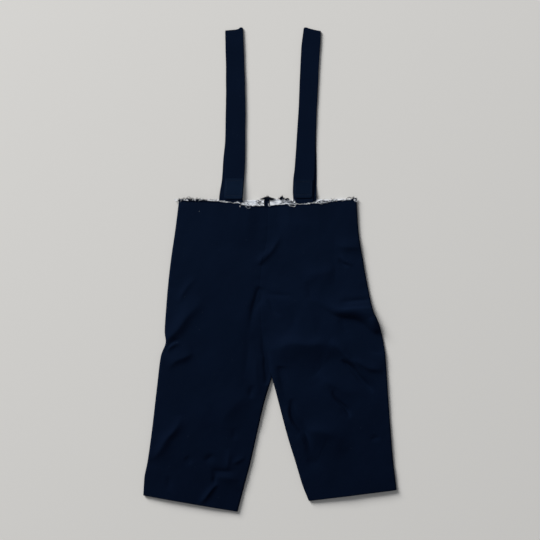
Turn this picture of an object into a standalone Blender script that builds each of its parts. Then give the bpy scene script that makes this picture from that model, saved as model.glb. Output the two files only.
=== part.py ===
"""Child's cropped costume trousers with sewn-on shoulder straps, laid out flat with the front up.

Sizes and tables are in millimetres, and MM turns them into metres. The garment lies on the floor at Z = 0.
+Y runs up the garment from the hems to the straps, +X to the right of somebody who looks down on it, and
the origin is on the floor under the middle of the laid-out garment. Left and right are the wearer's, so the
right leg lies at -X.

Each leg is a flattened tube of two panels. Their side edges roll towards each other and stop a seam gap
apart, half way up the edge. The straps run from inside the back waist up to a fold, and down again to the
inside of the front waist.
"""

import math
import random
from collections import namedtuple

import bmesh
import bpy
import numpy as np
from mathutils import Vector

MM = 0.001

# Cloth and seams
CLOTH = 1.0  # wall of one layer of suiting
STRAP_CLOTH = 1.2  # a strap is a flattened tube of the suiting
GAP = 0.3  # between neighbours at a seam, and between layers that lie on each other

# A leg's edges. The roll of an edge is a quarter turn, from the flat of the panel to its seam.
SEAM_Z = 2.25  # height of the side seams over the floor
EDGE_TOP = 4.5  # top of a front panel beside its rolled edges
LOFT = 0.9  # it stands this much higher in the middle of the leg
LOWEST_TOP = 3.7  # and a furrow never takes it below this, where it lies on the back panel
RollStep = namedtuple("RollStep", "flat rolled drop")
ROLL_STEPS = (
    RollStep(0.0, 0.0, 1.0),
    RollStep(0.9, 0.0, 0.85),
    RollStep(1.7, 0.7, 0.35),
    RollStep(2.8, 2.8, 0.0),
)
ROLL = 2.8
CROTCH_RAMP = 8.0  # the rise seam sinks into the roll over this stretch above the crotch
CROTCH_EASE = 0.9  # four panels meet at the crotch, so fronts and backs part by this much more each
CROTCH_EASE_REACH = 20.0
SEAM_GROOVE = 0.9  # the rise seam pulls the cloth down by this much
SEAM_GROOVE_WIDTH = 5.0

# Cells of the two kinds of panel: across the flat of the leg, from waist to crotch, and on to the hem
PanelSteps = namedtuple("PanelSteps", "across above below")
STEPS = {"front": PanelSteps(16, 29, 22), "back": PanelSteps(8, 12, 9)}

# One row for each line across a leg, from its outseam to its rise seam or its inseam
LegRow = namedtuple("LegRow", "outer_x outer_y inner_x inner_y")
LEG_ROWS = {
    "right": (
        LegRow(-136.5, 103.5, -3.0, 95.5),  # waist
        LegRow(-141.5, 63.0, -4.0, 55.0),
        LegRow(-148.5, 15.0, -11.5, 10.0),
        LegRow(-152.5, -20.0, -15.5, -28.0),
        LegRow(-156.0, -62.0, -13.5, -72.0),
        LegRow(-157.8, -92.0, -11.5, -104.0),
        LegRow(-156.2, -107.0, -9.0, -128.0),  # the dent in the side
        LegRow(-163.5, -129.0, 3.0, -161.0),  # crotch
        LegRow(-169.0, -172.0, -8.5, -199.0),
        LegRow(-176.5, -237.0, -20.5, -250.0),
        LegRow(-183.5, -287.0, -30.0, -292.0),
        LegRow(-188.3, -312.0, -38.0, -322.0),
        LegRow(-189.8, -337.5, -48.5, -362.0),  # hem
    ),
    "left": (
        LegRow(129.8, 104.3, -3.0, 95.5),  # waist
        LegRow(132.5, 60.0, -4.0, 55.0),
        LegRow(139.5, 15.0, -11.5, 10.0),
        LegRow(146.0, -22.0, -15.5, -28.0),
        LegRow(154.5, -60.0, -13.5, -72.0),
        LegRow(163.5, -81.0, -11.5, -104.0),  # the bulge in the side
        LegRow(169.5, -105.0, -9.0, -128.0),
        LegRow(173.0, -128.0, 3.0, -161.0),  # crotch
        LegRow(177.0, -187.0, 13.0, -199.0),
        LegRow(180.8, -240.0, 26.5, -250.0),
        LegRow(184.5, -285.0, 39.5, -292.0),
        LegRow(187.3, -308.0, 48.5, -322.0),
        LegRow(189.8, -329.3, 58.0, -345.8),  # hem
    ),
}
CROTCH_ROW = 7
FRONT_SAG = {"right": 2.3, "left": 1.4}  # the front waist edge hangs this far below a straight line
BACK_WAIST_Y = 104.2  # the back waist edge is straight, and higher than the front one at the middle
WAIST_REACH = 70.0  # the rows below the waist even out over this stretch

# Folds in the front panels, each a ridge, or a furrow where its height is negative. The line runs from
# (x0, y0) to (x1, y1) and bows to its left. left and right are the widths of its two slopes.
Fold = namedtuple("Fold", "x0 y0 x1 y1 bow height left right")
FOLDS = (
    # wearer's left leg
    Fold(98.0, 32.0, 134.0, 9.0, 0.0, 2.6, 8.0, 8.0),
    Fold(62.0, -34.0, 170.0, -72.0, -3.0, 5.0, 12.0, 16.0),
    Fold(100.0, -64.0, 166.0, -96.0, 0.0, -1.8, 9.0, 10.0),
    Fold(4.0, -124.0, 116.0, -121.0, 12.0, 4.4, 14.0, 10.0),
    Fold(84.0, -110.0, 172.0, -154.0, 2.0, 4.2, 13.0, 10.0),
    Fold(26.0, -138.0, 116.0, -142.0, 6.0, -1.8, 9.0, 10.0),
    Fold(86.0, -150.0, 152.0, -184.0, 0.0, 2.6, 9.0, 13.0),
    Fold(34.0, -196.0, 66.0, -250.0, 2.0, 2.8, 10.0, 9.0),
    Fold(60.0, -262.0, 118.0, -280.0, 0.0, -1.2, 18.0, 18.0),
    # rise seam
    Fold(16.0, 60.0, -14.0, 8.0, 0.0, 2.6, 8.0, 8.0),
    Fold(-20.0, -24.0, -24.0, -122.0, -5.0, -1.5, 9.0, 9.0),
    Fold(-1.0, -30.0, 8.0, -132.0, 3.0, 2.6, 13.0, 9.0),
    # wearer's right leg
    Fold(-159.0, -124.0, -104.0, -52.0, 5.0, -1.6, 9.0, 9.0),
    Fold(-162.0, -143.0, -96.0, -88.0, 3.0, 3.2, 10.0, 12.0),
    Fold(-172.0, -264.0, -124.0, -218.0, 0.0, 2.8, 12.0, 8.0),
    Fold(-162.0, -320.0, -122.0, -272.0, 0.0, -1.0, 11.0, 11.0),
    Fold(-88.0, -308.0, -36.0, -318.0, 3.0, 3.2, 9.0, 10.0),
    Fold(-104.0, -292.0, -62.0, -262.0, 0.0, 2.4, 10.0, 10.0),
)

# Layers at the waist, from the floor: back panel, interlining, back end of the strap, front end of it, and
# the front panel over them all. Each height here is that of a strap's middle.
INNER_FLOOR = CLOTH + GAP
ON_FLOOR = STRAP_CLOTH / 2
ON_STRAP = ON_FLOOR + STRAP_CLOTH + GAP
IN_BACK_WAIST = INNER_FLOOR + CLOTH + GAP + STRAP_CLOTH / 2
IN_FRONT_WAIST = IN_BACK_WAIST + STRAP_CLOTH + GAP

# The straps' middle, width and height at places along them: the back stretch runs up from the inside of
# the back waist to the fold, and the front stretch down from the fold to the inside of the front waist.
StrapRow = namedtuple("StrapRow", "y middle_x width z")
STRAP_BACK = {
    "right": (
        StrapRow(76.0, -62.5, 29.5, IN_BACK_WAIST),
        StrapRow(108.5, -61.3, 29.5, IN_BACK_WAIST),
        StrapRow(118.0, -59.8, 29.5, ON_FLOOR + 1.2),
        StrapRow(130.0, -57.0, 29.0, ON_FLOOR),
        StrapRow(165.0, -52.8, 28.5, ON_FLOOR),
        StrapRow(260.0, -51.8, 28.0, ON_FLOOR),
        StrapRow(357.6, -53.8, 26.5, ON_FLOOR),
    ),
    "left": (
        StrapRow(76.0, 55.2, 29.5, IN_BACK_WAIST),
        StrapRow(108.5, 55.1, 29.5, IN_BACK_WAIST),
        StrapRow(118.0, 55.0, 29.5, ON_FLOOR + 1.2),
        StrapRow(130.0, 54.9, 29.5, ON_FLOOR),
        StrapRow(190.0, 55.0, 28.5, ON_FLOOR),
        StrapRow(270.0, 58.3, 27.0, ON_FLOOR),
        StrapRow(357.6, 63.4, 25.5, ON_FLOOR),
    ),
}
STRAP_FRONT = {
    "right": (
        StrapRow(357.6, -53.8, 26.8, ON_STRAP),
        StrapRow(310.0, -52.2, 27.8, ON_STRAP),
        StrapRow(249.0, -51.4, 29.3, ON_STRAP),
        StrapRow(189.0, -52.1, 30.4, ON_STRAP),
        StrapRow(153.0, -52.4, 29.8, ON_STRAP + 0.2),
        StrapRow(131.0, -53.6, 29.6, ON_STRAP + 0.6),
        StrapRow(116.0, -54.6, 29.0, ON_STRAP + 2.0),
        StrapRow(104.0, -55.0, 28.5, IN_FRONT_WAIST),
        StrapRow(78.0, -55.0, 28.5, IN_FRONT_WAIST),
    ),
    "left": (
        StrapRow(357.6, 63.4, 26.0, ON_STRAP),
        StrapRow(330.0, 60.8, 28.3, ON_STRAP),
        StrapRow(255.0, 57.0, 27.2, ON_STRAP),
        StrapRow(189.0, 53.6, 28.6, ON_STRAP),
        StrapRow(153.0, 52.0, 30.0, ON_STRAP + 0.2),
        StrapRow(131.0, 50.6, 30.6, ON_STRAP + 0.6),
        StrapRow(116.0, 50.0, 30.4, ON_STRAP + 2.0),
        StrapRow(104.0, 49.8, 30.0, IN_FRONT_WAIST),
        StrapRow(78.0, 49.8, 30.0, IN_FRONT_WAIST),
    ),
}
STRAP_BACK_STEPS = 20
STRAP_TURN_STEPS = 6
STRAP_FRONT_STEPS = 26
# How far the fold at the top reaches past its row, from the strap's -X edge to its +X edge
FOLD_REACH = {"right": (0.0, 0.2, 0.5, 2.8, 1.4), "left": (3.2, 2.9, 1.4, 0.4, -0.6)}
FOLD_REACH_LENGTH = 20.0

# The doubled end of each strap, stitched down on its front stretch just above the waist
StrapEnd = namedtuple("StrapEnd", "top_y bottom_y width shift corner")
STRAP_ENDS = {
    "right": StrapEnd(136.6, 105.9, 27.6, 0.3, 4.0),
    "left": StrapEnd(135.0, 107.2, 28.0, 0.0, 5.0),
}
STRAP_END_ROWS = (0.0, 0.2, 0.4, 0.6, 0.75, 0.87, 0.93, 0.97, 1.0)

# The front waist rides over the straps' ends
OVER_STRAPS_TOP = IN_FRONT_WAIST + STRAP_CLOTH / 2 + GAP + CLOTH + 0.3
OVER_STRAPS_HALF = 19.0  # as wide as this each side of a strap's middle
OVER_STRAPS_SHOULDER = 20.0
OVER_STRAPS_FULL_Y = 70.0  # down to here, and gone at the next
OVER_STRAPS_END_Y = 32.0

# White interlining on the inside of the back waist: the height of its cut top edge at places along it
TopEdge = namedtuple("TopEdge", "x top_y")
INTERLINING = {
    "right": (
        TopEdge(-131.0, 105.0),
        TopEdge(-80.0, 104.4),
        TopEdge(-38.0, 105.2),
        TopEdge(-9.2, 105.8),
    ),
    "left": (
        TopEdge(-0.2, 105.8),
        TopEdge(16.0, 105.4),
        TopEdge(38.0, 104.4),
        TopEdge(70.0, 105.2),
        TopEdge(112.0, 106.2),
        TopEdge(124.4, 106.4),
    ),
}
INTERLINING_BOTTOM_Y = 84.0
INTERLINING_STEPS = 32
INTERLINING_RAGGED = 0.4

# The turned-open allowance of the centre back seam, between the two interlinings, with its frayed end
ALLOWANCE_MIDDLE_X = -4.7
ALLOWANCE_WIDTH = 7.0
ALLOWANCE_BOTTOM_Y = 60.0
ALLOWANCE_TOP_Y = 107.4
LooseThread = namedtuple("LooseThread", "lean length")
ALLOWANCE_THREADS = (
    LooseThread(-72.0, 8.0),
    LooseThread(-12.0, 3.2),
    LooseThread(20.0, 3.6),
    LooseThread(72.0, 9.0),
)

# Frayed threads along the raw front waist edge, fused to the matted threads right at the edge
FRAY_DEPTH = 1.1
FRAY_HEIGHT = 0.8
FRAY_THREADS = {"right": 34, "left": 34}
FRAY_SHORTEST = 1.0
FRAY_LONGEST = 4.6
FRAY_LEAN = 35.0
FRAY_SEEDS = {"right": 3, "left": 8}
FRAY_TAPER = 0.6
FRAY_END_X = 4.5  # the row of threads stops this far short of the leg's edges

SUITING = (0.0030, 0.0068, 0.0165)
SUITING_TURNED = (0.0058, 0.0108, 0.0235)
WHITE_COTTON = (0.60, 0.62, 0.65)


def start_scene():
    """Clears the scene and returns the collection for the garment."""
    for obj in list(bpy.data.objects):
        bpy.data.objects.remove(obj, do_unlink=True)
    garment = bpy.data.collections.new("cropped_trousers")
    bpy.context.scene.collection.children.link(garment)
    return garment


def fabric(name, colour, roughness):
    """A Principled material for one cloth."""
    material = bpy.data.materials.new(name)
    material.use_nodes = True
    shader = material.node_tree.nodes["Principled BSDF"]
    shader.inputs["Base Color"].default_value = (*colour, 1.0)
    shader.inputs["Roughness"].default_value = roughness
    shader.inputs["Metallic"].default_value = 0.0
    return material


def smooth_step(low, high, value):
    """0 at low and 1 at high, with an S curve between. low may be the larger of the two."""
    share = np.clip((value - low) / (high - low), 0.0, 1.0)
    return share * share * (3 - 2 * share)


def curve(knots, values, places):
    """The smooth curve through values at knots, which never goes past a value of the table."""
    knots, values = np.asarray(knots, float), np.asarray(values, float)
    rises = np.diff(values) / np.diff(knots)
    slopes = np.concatenate([rises[:1], np.zeros(len(rises) - 1), rises[-1:]])
    before, after = rises[:-1], rises[1:]
    steady = before * after > 0
    slopes[1:-1][steady] = 2 * (before * after)[steady] / (before + after)[steady]
    index = np.clip(np.searchsorted(knots, places, side="right") - 1, 0, len(rises) - 1)
    length = np.diff(knots)[index]
    s = (places - knots[index]) / length
    return (
        (1 + 2 * s) * (1 - s) ** 2 * values[index]
        + s * (1 - s) ** 2 * length * slopes[index]
        + s * s * (3 - 2 * s) * values[index + 1]
        + s * s * (s - 1) * length * slopes[index + 1]
    )


def row_knots():
    """How far down the legs each row of their tables lies, from the waist, the same for both legs."""
    tables = np.array(list(LEG_ROWS.values()))
    steps = np.diff(tables, axis=1)
    lengths = np.hypot(steps[..., 0::2], steps[..., 1::2]).mean(axis=(0, 2))
    return np.concatenate([[0.0], np.cumsum(lengths)])


def leg_edges(side, panel, down):
    """The outer and the inner ends of the lines across a panel, at distances down from the waist."""
    table = np.array(LEG_ROWS[side])
    knots = row_knots()
    outer = np.stack([curve(knots, table[:, k], down) for k in (0, 1)], axis=-1)
    # The crotch is a corner, so the rise and the inseam are two curves.
    parts = (slice(0, CROTCH_ROW + 1), slice(CROTCH_ROW, None))
    rise, inseam = (
        np.stack([curve(knots[part], table[part, k], down) for k in (2, 3)], axis=-1) for part in parts
    )
    inner = np.where((down <= knots[CROTCH_ROW])[:, None], rise, inseam)
    inner[:, 0] += GAP / 2 if side == "left" else -GAP / 2
    if panel == "back":
        inner[:, 1] += (BACK_WAIST_Y - table[0, 3]) * (1 - smooth_step(0, WAIST_REACH, down))
    return outer, inner


def fold_height(fold, x, y):
    """What one fold adds to the height of the cloth at (x, y)."""
    run = np.array([fold.x1 - fold.x0, fold.y1 - fold.y0])
    length = np.linalg.norm(run)
    ahead_x, ahead_y = run / length
    along = ((x - fold.x0) * ahead_x + (y - fold.y0) * ahead_y) / length
    inside = np.clip(along, 0.0, 1.0)
    aside = (y - fold.y0) * ahead_x - (x - fold.x0) * ahead_y - fold.bow * 4 * inside * (1 - inside)
    width = np.where(aside > 0, fold.left, fold.right)
    ends = np.where(along == inside, (1 - (2 * inside - 1) ** 4), 0.0)
    return fold.height * ends * np.exp(-((aside / width) ** 2))


def over_straps(x, y):
    """1 where the front waist rides over a strap's end, and 0 away from it."""
    middles = [rows[-1].middle_x for rows in STRAP_FRONT.values()]
    nearest = np.min([np.abs(x - middle) for middle in middles], axis=0)
    beside = smooth_step(OVER_STRAPS_HALF + OVER_STRAPS_SHOULDER, OVER_STRAPS_HALF, nearest)
    return beside * smooth_step(OVER_STRAPS_END_Y, OVER_STRAPS_FULL_Y, y)


def front_top(x, y, share, rise_distance, on_rise):
    """Height of a front panel's top. share runs from the outseam to the inner edge of the leg."""
    height = EDGE_TOP + LOFT * np.sin(math.pi * np.clip(share, 0, 1))
    height = height + sum(fold_height(fold, x, y) for fold in FOLDS)
    height -= on_rise * SEAM_GROOVE * np.exp(-((rise_distance / SEAM_GROOVE_WIDTH) ** 2))
    height = np.maximum(height, LOWEST_TOP)
    ride = over_straps(x, y)
    return np.maximum(height, height * (1 - ride) + OVER_STRAPS_TOP * ride)


def panel_grid(side, panel):
    """The points of a panel's outer face, as an array (row from the waist, column from the outseam, xyz)."""
    steps, knots = STEPS[panel], row_knots()
    down = np.concatenate(
        [
            np.linspace(0.0, knots[CROTCH_ROW], steps.above + 1),
            np.linspace(knots[CROTCH_ROW], knots[-1], steps.below + 1)[1:],
        ]
    )
    outer, inner = leg_edges(side, panel, down)
    width = np.linalg.norm(inner - outer, axis=1)[:, None]
    # The inner edge doesn't roll on the rise, where the panel meets that of the other leg edge to edge.
    inner_roll = smooth_step(knots[CROTCH_ROW] - CROTCH_RAMP, knots[CROTCH_ROW], down)[:, None]
    flat, rolled, drop = np.array(ROLL_STEPS).T
    outer_part = np.tile(rolled, (len(down), 1))
    inner_part = (flat * (1 - inner_roll) + rolled * inner_roll)[:, ::-1]
    middle = ROLL + (width - 2 * ROLL) * np.linspace(0, 1, steps.across + 1)[None, 1:-1]
    across = np.concatenate([outer_part, middle, width - inner_part], axis=1)
    drops = np.concatenate(
        [np.tile(drop, (len(down), 1)), np.zeros_like(middle), (drop * inner_roll)[:, ::-1]], axis=1
    )
    share = across / width
    half_gap = GAP / 2 + CROTCH_EASE * np.exp(-(((down - knots[CROTCH_ROW]) / CROTCH_EASE_REACH) ** 2))[:, None]
    points = outer[:, None, :] + (inner - outer)[:, None, :] * share[:, :, None]
    x, y = points[..., 0], points[..., 1]
    if panel == "front":
        sag = FRONT_SAG[side] * np.sin(math.pi * share**3)
        y = y - sag * (1 - smooth_step(0, WAIST_REACH, down))[:, None]
        top = front_top(x, y, share, width - across, 1 - inner_roll)
        z = top - drops * (top - SEAM_Z - np.where(share > 0.5, half_gap, GAP / 2))
    else:
        z = drops * (SEAM_Z - np.where(share > 0.5, half_gap, GAP / 2))
    return np.stack([x, y, z], axis=-1)


def sheet(name, grid, thickness, side, material, garment):
    """A solid wall on a grid of points. side is -1 for a wall below the grid, 1 above and 0 on both sides."""
    rows, columns = grid.shape[:2]
    bm = bmesh.new()
    bmesh.ops.create_grid(bm, x_segments=columns - 1, y_segments=rows - 1, size=1.0)
    bm.verts.ensure_lookup_table()
    for vert, point in zip(bm.verts, grid.reshape(-1, 3)):
        vert.co = point * MM
    bmesh.ops.recalc_face_normals(bm, faces=bm.faces)
    if sum(face.normal.z * face.calc_area() for face in bm.faces) < 0:
        bmesh.ops.reverse_faces(bm, faces=bm.faces)
    mesh = bpy.data.meshes.new(name)
    bm.to_mesh(mesh)
    bm.free()
    mesh.materials.append(material)
    obj = bpy.data.objects.new(name, mesh)
    garment.objects.link(obj)
    wall = obj.modifiers.new("cloth", "SOLIDIFY")
    wall.thickness = thickness * MM
    wall.offset = side
    wall.use_even_offset = True
    mesh.shade_smooth()
    mesh.set_sharp_from_angle(angle=math.radians(40))
    return obj


def make_panels(material, garment):
    """Front and back of each leg."""
    for side in ("right", "left"):
        sheet(f"front_{side}", panel_grid(side, "front"), CLOTH, -1.0, material, garment)
        sheet(f"back_{side}", panel_grid(side, "back"), CLOTH, 1.0, material, garment)


def strap_rows(rows, steps):
    """Middle, width and height at even steps along one stretch of a strap."""
    table = np.array(rows)
    knots = np.abs(table[:, 0] - table[0, 0])
    places = np.linspace(0, knots[-1], steps + 1)
    return np.stack([curve(knots, table[:, k], places) for k in range(4)], axis=-1)


def strap_grid(side):
    """The middle surface of a strap, from its back end over the fold at the top to its front end."""
    back = strap_rows(STRAP_BACK[side], STRAP_BACK_STEPS)
    front = strap_rows(STRAP_FRONT[side], STRAP_FRONT_STEPS)
    top, radius = back[-1], (ON_STRAP - ON_FLOOR) / 2
    turns = np.linspace(0, math.pi, STRAP_TURN_STEPS + 1)[1:-1]
    fold = np.stack(
        [
            top[0] + radius * np.sin(turns),
            np.full(len(turns), top[1]),
            np.full(len(turns), top[2]),
            ON_FLOOR + radius * (1 - np.cos(turns)),
        ],
        axis=-1,
    )
    rows = np.concatenate([back, fold, front])
    places = np.linspace(-0.5, 0.5, len(FOLD_REACH[side]))
    x = rows[:, 1:2] + rows[:, 2:3] * places
    reach = smooth_step(top[0] - FOLD_REACH_LENGTH, top[0], rows[:, 0:1])
    y = rows[:, 0:1] + reach * np.array(FOLD_REACH[side])
    return np.stack([x, y, np.broadcast_to(rows[:, 3:4], x.shape)], axis=-1)


def make_straps(material, garment):
    """One long band to each side, doubled at the top."""
    for side in ("right", "left"):
        sheet(f"strap_{side}", strap_grid(side), STRAP_CLOTH, 0.0, material, garment)


def make_strap_ends(material, garment):
    """The doubled ends, which follow the front stretches of the straps."""
    for side, end in STRAP_ENDS.items():
        table = np.array(STRAP_FRONT[side])
        y = end.top_y + (end.bottom_y - end.top_y) * np.array(STRAP_END_ROWS)
        middle, height = (curve(-table[:, 0], table[:, k], -y) for k in (1, 3))
        to_bottom = np.clip(y - end.bottom_y, 0, end.corner)
        half = end.width / 2 - end.corner + np.sqrt(end.corner**2 - (end.corner - to_bottom) ** 2)
        x = (middle + end.shift)[:, None] + half[:, None] * np.linspace(-1, 1, 5)
        z = height + STRAP_CLOTH / 2 + GAP
        grid = np.stack([x, np.tile(y[:, None], 5), np.tile(z[:, None], 5)], axis=-1)
        sheet(f"strap_end_{side}", grid, CLOTH, 1.0, material, garment)


def make_interlinings(material, garment):
    """A strip on the inner face of each back panel, with a ragged edge above the waist."""
    for side, edge in INTERLINING.items():
        table = np.array(edge)
        x = np.linspace(table[0, 0], table[-1, 0], INTERLINING_STEPS + 1)
        count = np.arange(len(x))
        ragged = INTERLINING_RAGGED * np.sin(2.1 * count) * np.cos(0.7 * count)
        top = curve(table[:, 0], table[:, 1], x) + ragged
        rows = np.array([0.0, 0.5, 1.0])[:, None]
        y = top * (1 - rows) + INTERLINING_BOTTOM_Y * rows
        grid = np.stack([np.broadcast_to(x, y.shape), y, np.full(y.shape, INNER_FLOOR)], axis=-1)
        sheet(f"interlining_{side}", grid, CLOTH, 1.0, material, garment)


def solid_strip(edge, depth, height):
    """A flat strip along a row of points, which are the near edge of its top, as a bmesh in mm."""
    bm = bmesh.new()
    bmesh.ops.create_grid(bm, x_segments=len(edge) - 1, y_segments=1, size=1.0)
    bm.verts.ensure_lookup_table()
    far = edge + np.array([0.0, depth, 0.0])
    for vert, point in zip(bm.verts, np.concatenate([edge, far])):
        vert.co = point
    made = bmesh.ops.extrude_face_region(bm, geom=list(bm.faces))
    lower = [item for item in made["geom"] if isinstance(item, bmesh.types.BMVert)]
    bmesh.ops.translate(bm, verts=lower, vec=(0.0, 0.0, -height))
    bmesh.ops.recalc_face_normals(bm, faces=bm.faces)
    return bm


def pull_threads(bm, picked, threads):
    """Draws each picked end face out into a loose thread of 4 sides."""
    made = bmesh.ops.extrude_discrete_faces(bm, faces=picked)
    for face, thread in zip(made["faces"], threads):
        lean = math.radians(thread.lean)
        middle = face.calc_center_median()
        away = Vector((math.sin(lean), math.cos(lean), 0.0)) * thread.length
        for vert in face.verts:
            vert.co = middle + (vert.co - middle) * FRAY_TAPER + away


def end_faces(bm):
    """The side faces of a strip that look along +Y, from -X to +X."""
    bm.normal_update()
    return sorted((f for f in bm.faces if f.normal.y > 0.7), key=lambda f: f.calc_center_median().x)


def finish_strip(name, bm, material, garment):
    """Turns a bmesh in mm into an object in metres."""
    bmesh.ops.scale(bm, vec=(MM, MM, MM), verts=bm.verts)
    bmesh.ops.recalc_face_normals(bm, faces=bm.faces)
    mesh = bpy.data.meshes.new(name)
    bm.to_mesh(mesh)
    bm.free()
    mesh.materials.append(material)
    garment.objects.link(bpy.data.objects.new(name, mesh))


def make_fray(material, garment):
    """The frayed threads of the front waist, short where they cross a strap."""
    for side, count in FRAY_THREADS.items():
        chance = random.Random(FRAY_SEEDS[side])
        waist = panel_grid(side, "front")[0]
        waist = waist[np.argsort(waist[:, 0])]
        short = (FRAY_END_X, GAP) if side == "right" else (GAP, FRAY_END_X)
        x = np.linspace(waist[0, 0] + short[0], waist[-1, 0] - short[1], 2 * count + 2)
        y, z = (np.interp(x, waist[:, 0], waist[:, k]) for k in (1, 2))
        edge = np.stack([x, y + GAP, z - (CLOTH - FRAY_HEIGHT) / 2], axis=-1)
        bm = solid_strip(edge, FRAY_DEPTH, FRAY_HEIGHT)
        picked = end_faces(bm)[1::2]
        threads = []
        for face in picked:
            on_strap = over_straps(face.calc_center_median().x, OVER_STRAPS_FULL_Y) > 0.5
            longest = 1.6 if on_strap else FRAY_LONGEST
            length = FRAY_SHORTEST + (longest - FRAY_SHORTEST) * chance.random() ** 2
            threads.append(LooseThread(chance.uniform(-FRAY_LEAN, FRAY_LEAN), length))
        pull_threads(bm, picked, threads)
        finish_strip(f"fray_{side}", bm, material, garment)


def make_allowance(material, garment):
    """The centre back seam allowance with its loose threads."""
    count = 2 * len(ALLOWANCE_THREADS) - 1
    x = ALLOWANCE_MIDDLE_X + ALLOWANCE_WIDTH * np.linspace(-0.5, 0.5, count + 1)
    bottom, top = np.full(len(x), ALLOWANCE_BOTTOM_Y), np.full(len(x), INNER_FLOOR + CLOTH)
    bm = solid_strip(np.stack([x, bottom, top], axis=-1), ALLOWANCE_TOP_Y - ALLOWANCE_BOTTOM_Y, CLOTH)
    pull_threads(bm, end_faces(bm)[::2], ALLOWANCE_THREADS)
    finish_strip("back_seam_allowance", bm, material, garment)


def main():
    garment = start_scene()
    suiting = fabric("suiting", SUITING, 0.82)
    turned = fabric("suiting_turned", SUITING_TURNED, 0.75)
    cotton = fabric("white_cotton", WHITE_COTTON, 0.9)
    make_panels(suiting, garment)
    make_straps(suiting, garment)
    make_strap_ends(turned, garment)
    make_interlinings(cotton, garment)
    make_fray(cotton, garment)
    make_allowance(suiting, garment)


main()
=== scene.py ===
"""Dresses a child's cropped costume trousers, which lie flat with the front up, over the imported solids.

Tables and sizes are in millimetres in the solids' frame: the garment lies on the floor at z = 0, +y runs up
from the hems to the straps, and the origin is under the middle of the garment. Left and right are the
wearer's. Each cloth piece is a thin shell worked out on a grid, and each thread a thin tube along a
worked-out path.
"""

import logging
import math
from dataclasses import dataclass, field
from enum import Enum
from typing import Any, NamedTuple, Optional, Sequence

import bpy
import numpy as np
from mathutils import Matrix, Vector


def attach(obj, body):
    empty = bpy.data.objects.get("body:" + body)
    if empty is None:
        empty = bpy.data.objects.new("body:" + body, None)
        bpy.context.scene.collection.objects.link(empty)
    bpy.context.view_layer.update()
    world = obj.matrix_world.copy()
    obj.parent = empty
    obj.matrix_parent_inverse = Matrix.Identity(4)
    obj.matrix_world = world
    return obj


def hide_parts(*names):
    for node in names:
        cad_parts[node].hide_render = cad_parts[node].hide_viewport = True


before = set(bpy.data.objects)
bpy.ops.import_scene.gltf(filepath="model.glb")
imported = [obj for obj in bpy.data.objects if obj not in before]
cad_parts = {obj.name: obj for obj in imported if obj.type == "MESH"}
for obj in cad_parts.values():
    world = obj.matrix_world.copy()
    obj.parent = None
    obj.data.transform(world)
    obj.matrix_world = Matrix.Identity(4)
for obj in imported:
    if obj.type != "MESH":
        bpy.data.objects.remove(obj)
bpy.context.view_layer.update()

LOG = logging.getLogger("trousers")
MM = 0.001
TINY = 1e-9  # keeps a division by a length from failing
SHARP_ANGLE = 55.0  # degrees between faces, past which an edge is drawn sharp

# Sizes of the solids that the pieces here are fitted to
GAP = 0.3  # between layers that lie on each other
SOLID_CLOTH = 1.0  # wall of a panel or an interlining
STRAP_CLOTH = 1.2  # a strap is a flattened tube
SEAM_Z = 2.25  # height of the side seams
EDGE_TOP = 4.5  # top of a front beside its rolled edges
ROLL = 2.8  # width of a rolled edge
INNER_FLOOR = SOLID_CLOTH + GAP
ON_FLOOR = STRAP_CLOTH / 2
ON_STRAP = ON_FLOOR + STRAP_CLOTH + GAP
IN_BACK_WAIST = INNER_FLOOR + SOLID_CLOTH + GAP + STRAP_CLOTH / 2
IN_FRONT_WAIST = IN_BACK_WAIST + STRAP_CLOTH + GAP

# How the thin cloth lies over them
SEWN_GAP = 0.06  # between panels at a seam
LOFT = 1.4  # a front stands this much higher in the middle of the leg
LOWEST_TOP = 2.9  # a furrow comes to rest on the back panel here
OVER_STRAPS_TOP = IN_FRONT_WAIST + STRAP_CLOTH / 2 + GAP + SOLID_CLOTH + GAP
OVER_STRAPS_HALF = 19.0  # a front rides over a strap's end as far as this each side of its middle
OVER_STRAPS_OUT = 39.0  # and is down again at this
OVER_STRAPS_FULL_Y = 70.0
OVER_STRAPS_END_Y = 32.0

# How a fold is worked out from its row
FOLD_GAIN = 1.6  # times the heights in the tables
FOLD_STEPS = 25  # places along its line
FOLD_REACH = 2.6  # it adds nothing further off than this many widths
BELL_POWER = 1.6
FADE_POWER = 2.6
UPPER_X, UPPER_Y = -0.64, 0.77  # towards the light, where a fold's upper slope is


class Side(Enum):
    """Which of the wearer's sides a piece is on."""

    RIGHT = "right"
    LEFT = "left"


class Face(Enum):
    """Which layer of the laid-out leg a panel is."""

    FRONT = "front"
    BACK = "back"


class LegRow(NamedTuple):
    """A line across a leg, from its outseam to its rise seam or its inseam."""

    outer_x: float
    outer_y: float
    inner_x: float
    inner_y: float


class Fold(NamedTuple):
    """A ridge, or a furrow where its height is negative, along a bent line.

    upper is the width of its slope towards the light, on the side of -x and +y, and lower that of the other.
    It is highest at peak, a share of its length.
    """

    height: float
    upper: float
    lower: float
    peak: float
    line: tuple[tuple[float, float], ...]


class StrapRow(NamedTuple):
    """The middle, width and height of a strap at one place."""

    y: float
    middle_x: float
    width: float
    z: float


class StrapEnd(NamedTuple):
    """A doubled end. shift is how far it lies beside the strap's middle, and corner its corners' radius."""

    top_y: float
    bottom_y: float
    width: float
    shift: float
    corner: float


class TopEdge(NamedTuple):
    """The height of a cut edge at one place along it."""

    x: float
    top_y: float


class Cut(NamedTuple):
    """The flat size of a piece of cloth in metres, and its area where it isn't a rectangle."""

    width: float
    length: float
    area: Optional[float] = None


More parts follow.
